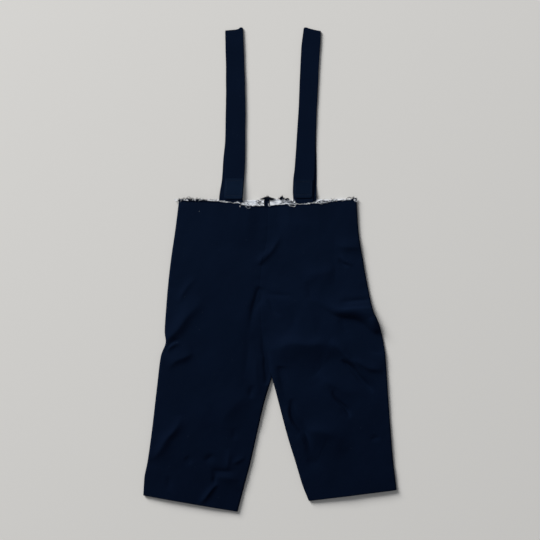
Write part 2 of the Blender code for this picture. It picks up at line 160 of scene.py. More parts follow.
LEG_ROWS = {
    Side.RIGHT: (
        LegRow(-136.5, 103.5, -3, 95.5),
        LegRow(-141.5, 63, -4, 55),
        LegRow(-148.5, 15, -11.5, 10),
        LegRow(-152.5, -20, -15.5, -28),
        LegRow(-156, -62, -13.5, -72),
        LegRow(-157.8, -92, -11.5, -104),
        LegRow(-156.2, -107, -9, -128),
        LegRow(-163.5, -129, 3, -161),
        LegRow(-169, -172, -8.5, -199),
        LegRow(-176.5, -237, -20.5, -250),
        LegRow(-183.5, -287, -30, -292),
        LegRow(-188.3, -312, -38, -322),
        LegRow(-189.8, -337.5, -48.5, -362),
    ),
    Side.LEFT: (
        LegRow(129.8, 104.3, -3, 95.5),
        LegRow(132.5, 60, -4, 55),
        LegRow(139.5, 15, -11.5, 10),
        LegRow(146, -22, -15.5, -28),
        LegRow(154.5, -60, -13.5, -72),
        LegRow(163.5, -81, -11.5, -104),
        LegRow(169.5, -105, -9, -128),
        LegRow(173, -128, 3, -161),
        LegRow(177, -187, 13, -199),
        LegRow(180.8, -240, 26.5, -250),
        LegRow(184.5, -285, 39.5, -292),
        LegRow(187.3, -308, 48.5, -322),
        LegRow(189.8, -329.3, 58, -345.8),
    ),
}
CROTCH_ROW = 7

FRONT_FOLDS = (
    # pucker across the rise
    Fold(1.1, 6, 5, 0.6, ((16.5, 58.5), (10.5, 45), (3, 31.5), (-7.5, 16.5), (-13.5, 7.5))),
    Fold(0.8, 5, 4, 0.5, ((-4.5, 31.5), (-10.5, 19.5), (-15, 6))),
    Fold(-0.7, 4, 4, 0.5, ((40.5, 85.5), (42, 72), (39, 55.5))),
    Fold(-0.7, 5, 5, 0.5, ((31.5, 93), (25.5, 78), (19.5, 66))),
    # furrows beside the rise seam
    Fold(-2.4, 4.5, 7, 0.3, ((-15, -24), (-19.5, -43.5), (-25.5, -64.5), (-28.5, -84), (-25.5, -96))),
    Fold(-2.6, 4, 5, 0.65, ((-10.5, -91.5), (-9, -112.5), (-4.5, -132), (-3, -150), (-6, -174))),
    Fold(0.7, 6, 5, 0.6, ((-19.5, -120), (-21, -144), (-19.5, -165), (-16.5, -186))),
    Fold(-0.7, 6, 6, 0.5, ((-33, -90), (-36, -120), (-37.5, -159))),
    Fold(-0.9, 4, 4, 0.5, ((-25.5, -168), (-27, -180), (-28.5, -192))),
    # upper thigh, wearer's left
    Fold(-0.8, 3, 4, 0.5, ((-6, -43.5), (4.5, -54), (18, -66))),
    Fold(0.9, 12, 14, 0.5, ((54, -45), (63, -72), (66, -102))),
    Fold(-0.7, 9, 10, 0.5, ((30, -49.5), (34.5, -72), (31.5, -93))),
    Fold(-0.6, 4, 4, 0.5, ((-9, -34.5), (10.5, -36), (33, -39))),
    Fold(-0.8, 6, 7, 0.5, ((57, -18), (63, -33), (66, -48))),
    Fold(1.5, 14, 26, 0.5, ((49.5, -16.5), (69, -6), (96, -3))),
    # hip, wearer's left
    Fold(1.7, 15, 6.5, 0.55, ((96, 36), (114, 34.5), (138, 34.5))),
    Fold(0.9, 4, 4, 0.5, ((105, 24), (115.5, 15), (127.5, 7.5))),
    Fold(-1, 3, 3.5, 0.5, ((103.5, 16.5), (112.5, 9), (123, 6))),
    # large fold out to the side of the thigh
    Fold(1.1, 2.6, 9, 0.55, ((84, -46), (98, -52.5), (112.5, -57.5), (132, -59), (150, -56.5), (174, -50))),
    Fold(2.2, 22, 11, 0.6, ((66, -44), (88, -54), (112.5, -61), (132, -64), (150, -66), (180, -68))),
    Fold(3, 18, 18, 0.62, ((108, -66), (130, -70), (150, -74), (166, -78), (184, -83))),
    Fold(-2.2, 6, 13, 0.55, ((62, -47), (80, -58), (98, -68), (120, -77), (146, -88), (172, -100))),
    Fold(-2.6, 13, 15, 0.62, ((96, -78), (116, -89), (136, -96), (154, -104), (178, -117))),
    Fold(-1.1, 4.5, 4, 0.5, ((102, -43.5), (120, -46.5), (138, -46.5), (153, -40.5))),
    Fold(-0.6, 4, 4, 0.5, ((108, -72), (112.5, -82.5), (117, -94.5))),
    Fold(-1.3, 4, 5, 0.5, ((142.5, -88.5), (150, -106.5), (159, -118.5), (169.5, -124.5))),
    Fold(1.2, 6, 6, 0.5, ((150, -70.5), (157.5, -81), (163.5, -91.5))),
    # arched fold across the thigh and what runs out of it
    Fold(
        4.2, 12, 20, 0.45,
        ((-6, -126), (9, -118.5), (30, -112.5), (52.5, -112.5), (72, -111), (90, -115.5), (108, -127.5)),
    ),
    Fold(2.3, 13, 9, 0.4, ((69, -150), (85.5, -169.5), (105, -178.5), (124.5, -181.5), (141, -180))),
    Fold(-1.7, 4, 8, 0.3, ((16.5, -144), (16.5, -171), (22.5, -201))),
    Fold(
        2.6, 8, 4.5, 0.4,
        ((88.5, -106.5), (106.5, -120), (120, -133.5), (132, -147), (142.5, -160.5), (151.5, -174)),
    ),
    Fold(-3.6, 2.6, 3.2, 0.45, ((106.5, -132), (118.5, -144), (132, -159), (145.5, -175.5), (153, -184.5))),
    Fold(1.8, 6, 4, 0.5, ((120, -130.5), (133.5, -138), (150, -145.5), (172.5, -150))),
    # lower leg, wearer's left
    Fold(-2.6, 3, 3.6, 0.5, ((94.5, -183), (103.5, -195), (112.5, -207), (120, -220.5))),
    Fold(1.2, 14, 10, 0.5, ((72, -165), (90, -187.5), (108, -213))),
    Fold(-3.4, 4, 4.5, 0.4, ((28.5, -195), (36, -213), (45, -232.5), (54, -253.5), (61.5, -273))),
    Fold(2.2, 6, 4.5, 0.45, ((22.5, -202.5), (30, -220.5), (39, -241.5), (48, -262.5), (55.5, -280.5))),
    Fold(2.9, 13, 20, 0.4, ((45, -234), (63, -243), (87, -246), (105, -259.5), (120, -273))),
    Fold(-0.8, 6, 6, 0.5, ((54, -285), (66, -288), (78, -283.5))),
    Fold(-0.7, 4, 4, 0.5, ((148.5, -256.5), (157.5, -252), (166.5, -250.5))),
    # thigh, wearer's right
    Fold(0.9, 6, 5, 0.5, ((-109.5, -13.5), (-121.5, -24), (-129, -37.5), (-133.5, -52.5))),
    Fold(
        2.5, 11, 7.5, 0.55,
        ((-101, -45), (-116, -60), (-128, -74), (-139.5, -88.5), (-150.5, -104), (-161, -120)),
    ),
    Fold(-0.8, 3, 3, 0.5, ((-135, -99), (-145.5, -112.5), (-157.5, -129))),
    Fold(1.4, 5, 3.5, 0.5, ((-135, -108), (-144, -115.5), (-153, -126))),
    Fold(1.7, 8, 5, 0.45, ((-114, -120), (-127.5, -127.5), (-139.5, -138), (-153, -153))),
    # lower leg, wearer's right
    Fold(1.8, 20, 16, 0.45, ((-27, -180), (-45, -196.5), (-64.5, -216), (-76.5, -243))),
    Fold(
        2.1, 5.5, 7, 0.45,
        ((-129, -219), (-142.5, -235.5), (-157.5, -252), (-169.5, -270), (-178.5, -285)),
    ),
    Fold(1.2, 8, 14, 0.5, ((-153, -249), (-168, -270), (-180, -288))),
    Fold(-0.6, 4, 4, 0.5, ((-52.5, -232.5), (-52.5, -243), (-54, -255))),
    Fold(-0.7, 5, 5, 0.5, ((-124.5, -280.5), (-120, -286.5), (-117, -294))),
    Fold(-0.7, 6, 6, 0.5, ((-148.5, -307.5), (-148.5, -318), (-151.5, -330))),
    # creases above the hem, wearer's right
    Fold(-1.5, 4.5, 5, 0.3, ((-90, -301.5), (-76.5, -300), (-60, -300), (-43.5, -304.5))),
    Fold(1.1, 5, 9, 0.5, ((-88.5, -309), (-75, -308.25), (-60, -310.5), (-45, -316.5))),
    Fold(1.8, 5, 4, 0.4, ((-76.5, -319.5), (-85.5, -330), (-97.5, -342), (-111, -352.5))),
    Fold(-1.3, 3.5, 4, 0.5, ((-84, -301.5), (-84, -312), (-79.5, -322.5))),
    Fold(-1.1, 5, 5, 0.5, ((-82.5, -274.5), (-90, -283.5), (-99, -292.5))),
    Fold(0.9, 4, 6, 0.5, ((-63, -267), (-64.5, -282), (-66, -297))),
    Fold(1, 5, 4, 0.5, ((-58.5, -286.5), (-46.5, -283.5), (-36, -280.5))),
)

# The underside keeps its main lie on the floor, with shallow creases like the front's that lift off it
BACK_FOLDS = (
    Fold(0.8, 9, 12, 0.5, ((64, -40), (112, -64), (160, -84))),
    Fold(0.9, 10, 8, 0.4, ((20, -118), (62, -112), (104, -128))),
    Fold(0.7, 9, 9, 0.5, ((88, -136), (124, -150), (160, -168))),
    Fold(0.6, 8, 8, 0.6, ((40, -206), (58, -230), (74, -258))),
    Fold(0.8, 8, 10, 0.5, ((-92, -64), (-124, -86), (-150, -118))),
    Fold(0.7, 9, 8, 0.4, ((-112, -208), (-136, -222), (-160, -240))),
    Fold(0.6, 8, 9, 0.5, ((-56, -276), (-76, -290), (-96, -300))),
    Fold(0.7, 8, 8, 0.5, ((-30, -36), (-36, -78), (-34, -120))),
    Fold(0.6, 9, 9, 0.5, ((24, -44), (30, -74), (30, -104))),
)

# The cut edge of each front's waist, from the side seam to the rise
FRONT_WAIST = {
    Side.RIGHT: (
        TopEdge(-136.6, 103.6),
        TopEdge(-118, 104),
        TopEdge(-100, 103.8),
        TopEdge(-72, 102.4),
        TopEdge(-45, 99.6),
        TopEdge(-36, 97),
        TopEdge(-22, 96.2),
        TopEdge(-3, 97),
    ),
    Side.LEFT: (
        TopEdge(-3, 97),
        TopEdge(30, 98.2),
        TopEdge(45, 97.6),
        TopEdge(60, 98.8),
        TopEdge(70.5, 100.4),
        TopEdge(90, 102.5),
        TopEdge(112.5, 104.6),
        TopEdge(129.9, 105.6),
    ),
}

STRAP_BACK = {
    Side.RIGHT: (
        StrapRow(76, -62.5, 29.5, IN_BACK_WAIST),
        StrapRow(108.5, -61.3, 29.5, IN_BACK_WAIST),
        StrapRow(118, -60.2, 29.5, ON_FLOOR + 1.2),
        StrapRow(135, -57.6, 29.5, ON_FLOOR),
        StrapRow(165, -55.2, 29.5, ON_FLOOR),
        StrapRow(195, -53, 28.5, ON_FLOOR),
        StrapRow(260, -51.8, 28, ON_FLOOR),
        StrapRow(357.6, -53.8, 26.5, ON_FLOOR),
    ),
    Side.LEFT: (
        StrapRow(76, 55.2, 29.5, IN_BACK_WAIST),
        StrapRow(108.5, 55.1, 29.5, IN_BACK_WAIST),
        StrapRow(118, 55, 29.5, ON_FLOOR + 1.2),
        StrapRow(130, 54.9, 29.5, ON_FLOOR),
        StrapRow(190, 55, 28.5, ON_FLOOR),
        StrapRow(270, 58.3, 27, ON_FLOOR),
        StrapRow(357.6, 63.4, 25.5, ON_FLOOR),
    ),
}
STRAP_FRONT = {
    Side.RIGHT: (
        StrapRow(357.6, -53.8, 26.8, ON_STRAP),
        StrapRow(310, -52.2, 27.8, ON_STRAP),
        StrapRow(249, -51.4, 29.3, ON_STRAP),
        StrapRow(189, -52.1, 30.4, ON_STRAP),
        StrapRow(153, -52.4, 29.8, ON_STRAP + 0.2),
        StrapRow(131, -53.6, 29.6, ON_STRAP + 0.6),
        StrapRow(116, -54.6, 29, ON_STRAP + 2),
        StrapRow(104, -55, 28.5, IN_FRONT_WAIST),
        StrapRow(78, -55, 28.5, IN_FRONT_WAIST),
    ),
    Side.LEFT: (
        StrapRow(357.6, 63.4, 26, ON_STRAP),
        StrapRow(330, 60.8, 28.3, ON_STRAP),
        StrapRow(255, 57, 27.2, ON_STRAP),
        StrapRow(189, 53.6, 28.6, ON_STRAP),
        StrapRow(153, 52, 30, ON_STRAP + 0.2),
        StrapRow(131, 50.2, 31.4, ON_STRAP + 0.6),
        StrapRow(116, 49.6, 31.2, ON_STRAP + 2),
        StrapRow(104, 49.8, 30, IN_FRONT_WAIST),
        StrapRow(78, 49.8, 30, IN_FRONT_WAIST),
    ),
}

# How much further up than its fold a strap's doubled top reaches, at even steps across it
STRAP_SLANT = {
    Side.RIGHT: (0, 0.3, 0.6, 0.9, 1.2, 1.5, 2.6, 4.9, 4.2),
    Side.LEFT: (4.2, 4.7, 3.7, 2.7, 1.9, 1.1, 0.4, -0.2, -0.6),
}
STRAP_ENDS = {
    Side.RIGHT: StrapEnd(136.6, 105.9, 27.6, 0.3, 4),
    Side.LEFT: StrapEnd(135, 107.2, 28, 0, 5),
}

# The cut edge of each interlining
INTERLINING_EDGES = {
    Side.RIGHT: (
        TopEdge(-131, 103.9),
        TopEdge(-100, 103.8),
        TopEdge(-76, 103.2),
        TopEdge(-50, 104.6),
        TopEdge(-38, 104.5),
        TopEdge(-9.2, 105.1),
    ),
    Side.LEFT: (
        TopEdge(-0.2, 105.1),
        TopEdge(16, 104.9),
        TopEdge(38, 104.4),
        TopEdge(70, 105.2),
        TopEdge(112, 106.2),
        TopEdge(124.4, 106.4),
    ),
}
LINING_BOTTOM_Y = 84.0


def smooth_step(low: float, high: float, value: Any) -> np.ndarray:
    """An S curve: share * share * (3 - 2 * share), where share runs from 0 at low to 1 at high.

    Args:
        low: The value where it is 0, which may be larger than high.
        high: The value where it is 1.
        value: A number or an array.

    Returns:
        The curve at value.
    """
    share = np.clip((value - low) / (high - low), 0.0, 1.0)
    return share * share * (3 - 2 * share)


def curve(knots: Any, values: Any, places: Any) -> np.ndarray:
    """A cubic through values at knots, whose slopes are harmonic means, so that it never overshoots.

    Args:
        knots: Rising places.
        values: A value at each knot.
        places: Where to read the curve.

    Returns:
        The curve at places.
    """
    knots, values = np.asarray(knots, float), np.asarray(values, float)
    rises = np.diff(values) / np.diff(knots)
    slopes = np.concatenate([rises[:1], np.zeros(len(rises) - 1), rises[-1:]])
    before, after = rises[:-1], rises[1:]
    steady = before * after > 0
    slopes[1:-1][steady] = 2 * (before * after)[steady] / (before + after)[steady]
    index = np.clip(np.searchsorted(knots, places, side="right") - 1, 0, len(rises) - 1)
    length = np.diff(knots)[index]
    s = (places - knots[index]) / length
    return (
        (1 + 2 * s) * (1 - s) ** 2 * values[index]
        + s * (1 - s) ** 2 * length * slopes[index]
        + s * s * (3 - 2 * s) * values[index + 1]
        + s * s * (s - 1) * length * slopes[index + 1]
    )


@dataclass(frozen=True)
class Rumple:
    """Soft unevenness of cloth: a sum of sine waves with seeded directions, lengths and starts.

    Each wave's height grows with its length, and the sum is scaled so that its usual size is height.
    """

    seed: int
    shortest: float
    longest: float
    height: float
    waves: int = 22

    def at(self, x: np.ndarray, y: np.ndarray) -> np.ndarray:
        """The sum of the waves.

        Args:
            x: Places in mm.
            y: Places in mm, of the same shape.

        Returns:
            Heights in mm.
        """
        chance = np.random.default_rng(self.seed)
        total = np.zeros(np.broadcast(x, y).shape)
        size = 0.0
        for _ in range(self.waves):
            length = self.shortest * (self.longest / self.shortest) ** chance.random()
            angle, start = chance.uniform(0, 2 * math.pi, 2)
            share = length / self.longest
            phase = (x * math.cos(angle) + y * math.sin(angle)) * 2 * math.pi / length + start
            total = total + share * np.sin(phase)
            size += share**2 / 2
        return total * self.height / math.sqrt(size)


# The unevenness of each kind of place
SWAY_X, SWAY_Y = Rumple(5, 30, 90, 1.6), Rumple(6, 30, 90, 1.6)
FRONT_SOFT, FRONT_FINE = Rumple(21, 28, 120, 0.30), Rumple(22, 9, 24, 0.03)
OVER_STRAPS_SOFT = Rumple(23, 16, 60, 0.12)
WAIST_CURL = Rumple(24, 8, 40, 0.2)
HEM_WANDER = Rumple(41, 20, 60, 0.7)
STRAP_EDGES = {Side.RIGHT: Rumple(61, 22, 80, 0.16), Side.LEFT: Rumple(62, 22, 80, 0.16)}
STRAP_END_SOFT = Rumple(71, 9, 30, 0.05)
LINING_RAGGED = (Rumple(81, 6, 26, 0.35), Rumple(82, 1.4, 3, 0.14))
LINING_WAVE = Rumple(83, 7, 24, 0.4)
RAGGED_SEEDS = {"front_right": 62, "front_left": 61, "back_right": 61, "back_left": 60}


def fold_height(fold: Fold, x: np.ndarray, y: np.ndarray) -> np.ndarray:
    """What a fold adds to the cloth's height.

    It is FOLD_GAIN times the fold's height, times a bell across it, exp(-(distance / width) ** 1.6), times a
    fade along it, ((s / p) ** p * ((1 - s) / (1 - p)) ** (1 - p)) ** 2.6, where s is the share of its length
    and p its peak.

    Args:
        fold: The fold.
        x: Places in mm.
        y: Places in mm.

    Returns:
        Heights in mm.
    """
    knots = np.array(fold.line)
    lengths = np.concatenate([[0.0], np.cumsum(np.linalg.norm(np.diff(knots, axis=0), axis=1))])
    places = np.linspace(0, lengths[-1], FOLD_STEPS)
    line = np.stack([curve(lengths, knots[:, k], places) for k in (0, 1)], axis=-1)
    reach = FOLD_REACH * max(fold.upper, fold.lower)
    (low_x, low_y), (high_x, high_y) = line.min(axis=0) - reach, line.max(axis=0) + reach
    near = (x > low_x) & (x < high_x) & (y > low_y) & (y < high_y)
    height = np.zeros(x.shape)
    if not near.any():
        return height
    run = np.diff(line, axis=0)
    away = np.stack([x[near], y[near]], axis=-1)[:, None] - line[:-1]
    share = np.clip((away * run).sum(-1) / (run**2).sum(-1), 0, 1)
    distance = np.linalg.norm(away - share[..., None] * run, axis=-1)
    index = distance.argmin(axis=1)
    rows = np.arange(len(index))
    beside = (run[:, 0] * away[..., 1] - run[:, 1] * away[..., 0])[rows, index]
    way_x, way_y = knots[-1] - knots[0]
    on_upper = beside * (way_x * UPPER_Y - way_y * UPPER_X) > 0
    width = np.where(on_upper, fold.upper, fold.lower)
    s = (index + share[rows, index]) / len(run)
    p = fold.peak
    fade = ((s / p) ** p * ((1 - s) / (1 - p)) ** (1 - p)) ** FADE_POWER
    bell = np.exp(-((distance[rows, index] / width) ** BELL_POWER))
    height[near] = FOLD_GAIN * fold.height * fade * bell
    return height


def over_straps(x: Any, y: Any) -> np.ndarray:
    """1 where the front waist rides over a strap's end and 0 away from it, with an S curve on every side.

    Args:
        x: Places in mm.
        y: Places in mm.

    Returns:
        The share of the ride.
    """
    middles = [rows[-1].middle_x for rows in STRAP_FRONT.values()]
    nearest = np.min([np.abs(x - middle) for middle in middles], axis=0)
    beside = smooth_step(OVER_STRAPS_OUT, OVER_STRAPS_HALF, nearest)
    return beside * smooth_step(OVER_STRAPS_END_Y, OVER_STRAPS_FULL_Y, y)


@dataclass
class ClothMesh:
    """Puts grids of points into a mesh as a closed shell."""

    name: str
    points: list[np.ndarray] = field(default_factory=list)
    quads: list[np.ndarray] = field(default_factory=list)
    caps: list[list[int]] = field(default_factory=list)
    coords: list[np.ndarray] = field(default_factory=list)
    count: int = 0

    def add_points(self, grid: np.ndarray, coords: np.ndarray) -> np.ndarray:
        """Keeps a grid's points.

        Args:
            grid: Points in mm, with xyz last.
            coords: The cloth's own places for them in mm, across and down, for the pattern.

        Returns:
            The index of each point, in the grid's shape.
        """
        shape = grid.shape[:-1]
        index = np.arange(self.count, self.count + int(np.prod(shape))).reshape(shape)
        self.points.append(grid.reshape(-1, 3))
        self.coords.append(np.broadcast_to(coords, (*shape, 2)).reshape(-1, 2))
        self.count += index.size
        return index

    def add_strip(self, first: np.ndarray, second: np.ndarray, loop: bool = False) -> None:
        """Joins two rows of points by a row of faces.

        Args:
            first: Indices of one row.
            second: Indices of the other.
            loop: Whether the rows close on themselves.
        """
        if loop:
            first, second = np.append(first, first[:1]), np.append(second, second[:1])
        self.quads.append(np.stack([first[:-1], first[1:], second[1:], second[:-1]], axis=-1))

    def add_shell(self, outer: np.ndarray, inner: np.ndarray, coords: np.ndarray, loop: bool = False) -> None:
        """Adds a closed wall between two grids of the same shape, with a rim round its free edges.

        Args:
            outer: Grid of the outer face.
            inner: Grid of the inner face.
            coords: The cloth's own places, shared by both.
            loop: Whether the grid's columns close on themselves, as on a tube.
        """
        top, low = self.add_points(outer, coords), self.add_points(inner, coords)
        for grid, flip in ((top, False), (low, True)):
            wide = np.concatenate([grid, grid[:, :1]], axis=1) if loop else grid
            faces = np.stack([wide[:-1, :-1], wide[:-1, 1:], wide[1:, 1:], wide[1:, :-1]], axis=-1)
            faces = faces.reshape(-1, 4)
            self.quads.append(faces[:, ::-1] if flip else faces)
        self.add_strip(low[0], top[0], loop)
        self.add_strip(top[-1], low[-1], loop)
        if not loop:
            self.add_strip(top[:, 0], low[:, 0])
            self.add_strip(low[:, -1], top[:, -1])

    def add_tubes(self, paths: np.ndarray, radius: np.ndarray, sides: int = 5) -> None:
        """Adds a closed round tube along each path: rings square to the path, each sides points round it.

        Args:
            paths: Points in mm as (thread, step, xyz). No path runs straight up.
            radius: Radius in mm at each step of each path.
            sides: Points to a ring.
        """
        ahead = np.gradient(paths, axis=1)
        ahead /= np.linalg.norm(ahead, axis=-1, keepdims=True) + TINY
        beside = np.cross(ahead, np.array([0.0, 0.0, 1.0]))
        beside /= np.linalg.norm(beside, axis=-1, keepdims=True) + TINY
        above = np.cross(beside, ahead)
        turn = np.arange(sides) * 2 * math.pi / sides
        ring = beside[:, :, None] * np.cos(turn)[:, None] + above[:, :, None] * np.sin(turn)[:, None]
        grid = paths[:, :, None] + ring * radius[:, :, None, None]
        index = self.add_points(grid, np.zeros(2))
        wide = np.concatenate([index, index[:, :, :1]], axis=2)
        faces = np.stack([wide[:, :-1, :-1], wide[:, 1:, :-1], wide[:, 1:, 1:], wide[:, :-1, 1:]], axis=-1)
        self.quads.append(faces.reshape(-1, 4))
        self.caps += index[:, 0].tolist() + index[:, -1, ::-1].tolist()

    def build(self, material: bpy.types.Material) -> bpy.types.Object:
        """Makes the object, with its faces turned outwards.

        Args:
            material: Its finish.

        Returns:
            The new object, which rides on the frame's one body.
        """
        points, quads = np.concatenate(self.points) * MM, np.concatenate(self.quads)
        faces = quads.tolist() + self.caps
        corners = points[quads]
        halves = np.concatenate([corners[:, [0, 1, 2]], corners[:, [0, 2, 3]]])
        if np.linalg.det(halves).sum() < 0:
            faces = [face[::-1] for face in faces]
        mesh = bpy.data.meshes.new(self.name)
        mesh.from_pydata(points.tolist(), [], faces)
        mesh.validate()
        corner_points = np.empty(len(mesh.loops), np.int32)
        mesh.loops.foreach_get("vertex_index", corner_points)
        coords = (np.concatenate(self.coords) * MM)[corner_points]
        mesh.uv_layers.new(name="cloth").data.foreach_set("uv", coords.astype(np.float32).ravel())
        mesh.materials.append(material)
        mesh.shade_smooth()
        mesh.set_sharp_from_angle(angle=math.radians(SHARP_ANGLE))
        piece = bpy.data.objects.new(self.name, mesh)
        bpy.context.scene.collection.objects.link(piece)
        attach(piece, "root")
        LOG.info("%s: %d faces", self.name, len(mesh.polygons))
        return piece


def facing(grid: np.ndarray, up: bool) -> np.ndarray:
    """Unit normals of a grid: the cross product of its two directions.

    Args:
        grid: Points in mm, as (row, column, xyz).
        up: Whether most of them point up.

    Returns:
        A unit vector for each point.
    """
    across, down = np.gradient(grid, axis=1), np.gradient(grid, axis=0)
    normal = np.cross(across, down)
    normal /= np.linalg.norm(normal, axis=-1, keepdims=True) + TINY
    return normal if (normal[..., 2].mean() > 0) == up else -normal


@dataclass
class LegPanel:
    """The front or back panel of one leg, from the waist to the turned-up hem."""

    side: Side
    face: Face
    finish: bpy.types.Material
    cloth: float = 0.75
    hem_cloth: float = 1.5  # the wall where the hem is doubled
    hem_depth: float = 26.0
    hem_step: float = 1.5  # the wall thickens over this stretch
    hem_round: float = 0.8
    hem_rows: int = 6
    hem_print: float = 0.05  # height of the line where the turned-up cloth ends
    hem_print_width: float = 1.6
    spacing: float = 1.3
    usual_width: float = 150.0  # the width that the columns are counted for
    waist_rows: tuple[float, ...] = (0.0, 0.35, 0.8, 1.5)
    first_even_row: float = 3.0
    roll_steps: int = 7
    crotch_ramp: float = 9.0
    crotch_ease: float = 0.35
    crotch_ease_reach: float = 16.0
    back_waist_y: float = 104.2
    waist_reach: float = 70.0
    ragged_reach: float = 2.0
    pucker_reach: float = 9.0
    rise_pucker: float = 0.8  # the rise's ripples, as a share of a side seam's
    grooves: tuple[tuple[float, float], ...] = ((0.06, 4.0), (0.08, 1.2))  # depth and width, along the rise
    rest_rate: float = 3.0  # per mm, how firmly a furrow comes to rest on the back panel
    curl_from: tuple[float, float] = (-60.0, -30.0)
    curl_to: tuple[float, float] = (95.0, 50.0)
    curl_height: float = 0.75
    curl_depth: float = 2.0
    lift_limit: float = 1.0  # of the back's creases over the floor
    lift_from: tuple[float, float] = (60.0, 20.0)

    @property
    def name(self) -> str:
        """The node that the panel stands for."""
        return f"{self.face.value}_{self.side.value}"

    def knots(self) -> np.ndarray:
        """How far down the legs each row of their tables lies: the mean step of all four edges, summed."""
        tables = np.array([LEG_ROWS[side] for side in Side])
        steps = np.diff(tables, axis=1)
        lengths = np.hypot(steps[..., 0::2], steps[..., 1::2]).mean(axis=(0, 2))
        return np.concatenate([[0.0], np.cumsum(lengths)])

    def edges(self, down: np.ndarray) -> tuple[np.ndarray, np.ndarray]:
        """Both ends of the lines across the panel.

        Args:
            down: Distances below the waist in mm.

        Returns:
            The ends at the outseam, and those at the rise seam or the inseam.
        """
        table, knots = np.array(LEG_ROWS[self.side]), self.knots()
        outer = np.stack([curve(knots, table[:, k], down) for k in (0, 1)], axis=-1)
        parts = (slice(0, CROTCH_ROW + 1), slice(CROTCH_ROW, None))
        rise, inseam = (
            np.stack([curve(knots[part], table[part, k], down) for k in (2, 3)], axis=-1) for part in parts
        )
        inner = np.where((down <= knots[CROTCH_ROW])[:, None], rise, inseam)
        inner[:, 0] += SEWN_GAP / 2 if self.side is Side.LEFT else -SEWN_GAP / 2
        if self.face is Face.BACK:
            inner[:, 1] += (self.back_waist_y - table[0, 3]) * (1 - smooth_step(0, self.waist_reach, down))
        return outer, inner

    def waist_rise(self, share: np.ndarray, down: np.ndarray) -> np.ndarray:
        """How far the front's cut edge lies above a straight waist: the waist table less the line between
        its corners, faded out down the panel.

        Args:
            share: 0 at the outseam and 1 at the rise.
            down: Distance below the waist.

        Returns:
            Distances in mm.
        """
        first, table = np.array(LEG_ROWS[self.side])[0], np.array(FRONT_WAIST[self.side])
        x = first[0] + (first[2] - first[0]) * share
        straight = first[1] + (first[3] - first[1]) * share
        fade = 1 - smooth_step(0, self.waist_reach, down)
        return (curve(table[:, 0], table[:, 1], x) - straight) * fade

    def rows(self) -> np.ndarray:
        """How far the grid's rows lie below the waist: even, but close at the cut edge and the hem."""
        end = self.knots()[-1]
        turn = self.hem_round * (1 - np.sin(np.linspace(0, math.pi / 2, self.hem_rows)))
        middle = np.arange(self.first_even_row, end - self.hem_round - 1.0, self.spacing)
        return np.concatenate([self.waist_rows, middle, end - turn])

    def seam_pucker(self, down: np.ndarray, distance: np.ndarray, seed: int) -> np.ndarray:
        """Small ripples square to a seam: uneven waves along it that fade within some 9 mm.

        Args:
            down: Distance down the leg of each point.
            distance: Distance from the seam.
            seed: Picks this seam's waves.

        Returns:
            Heights in mm.
        """
        waves = Rumple(seed, 9, 34, 0.16, 9).at(down, np.zeros_like(down))
        return waves * np.exp(-((distance / self.pucker_reach) ** 2))

    def front_top(
        self,
        x: np.ndarray,
        y: np.ndarray,
        share: np.ndarray,
        rise: np.ndarray,
        on_rise: np.ndarray,
        down: np.ndarray,
        width: np.ndarray,
    ) -> np.ndarray:
        """Height of the front's top: its loft, the placed folds and soft rumples, over the layers under it.

        Where it would sink below LOWEST_TOP it levels off, by log(1 + exp(rate * height)) / rate.

        Args:
            x: Places in mm.
            y: Places in mm.
            share: 0 at the outseam and 1 at the inner edge.
            rise: Distance from the inner edge.
            on_rise: 1 beside the rise seam and 0 below the crotch.
            down: Distance below the waist.
            width: Width of each row.

        Returns:
            Heights in mm.
        """
        sway_x, sway_y = x + SWAY_X.at(x, y), y + SWAY_Y.at(x, y)
        height = EDGE_TOP + LOFT * np.sin(math.pi * np.clip(share, 0, 1))
        height = height + sum(fold_height(fold, sway_x, sway_y) for fold in FRONT_FOLDS)
        height = height + FRONT_SOFT.at(x, y) + FRONT_FINE.at(x, y)
        height = height + self.seam_pucker(down, share * width, 31)
        height = height + (1 - on_rise) * self.seam_pucker(down, rise, 32)
        height = height + on_rise * self.seam_pucker(down, rise, 33) * self.rise_pucker
        groove = sum(depth * np.exp(-((rise / wide) ** 2)) for depth, wide in self.grooves)
        height = height - on_rise * groove
        past_hem = down - (self.knots()[-1] - self.hem_depth) - HEM_WANDER.at(x, y)
        height = height + self.hem_print * np.exp(-((past_hem / self.hem_print_width) ** 2))
        height = LOWEST_TOP + np.logaddexp(0.0, (height - LOWEST_TOP) * self.rest_rate) / self.rest_rate
        curl = smooth_step(*self.curl_from, x) * smooth_step(*self.curl_to, x)
        curl = curl * (self.curl_height + WAIST_CURL.at(x, 0 * y))
        height = height + curl * np.exp(-((down / self.curl_depth) ** 2))
        ride = over_straps(x, y)
        over = OVER_STRAPS_TOP + OVER_STRAPS_SOFT.at(x, y)
        return np.maximum(height, height * (1 - ride) + over * ride)

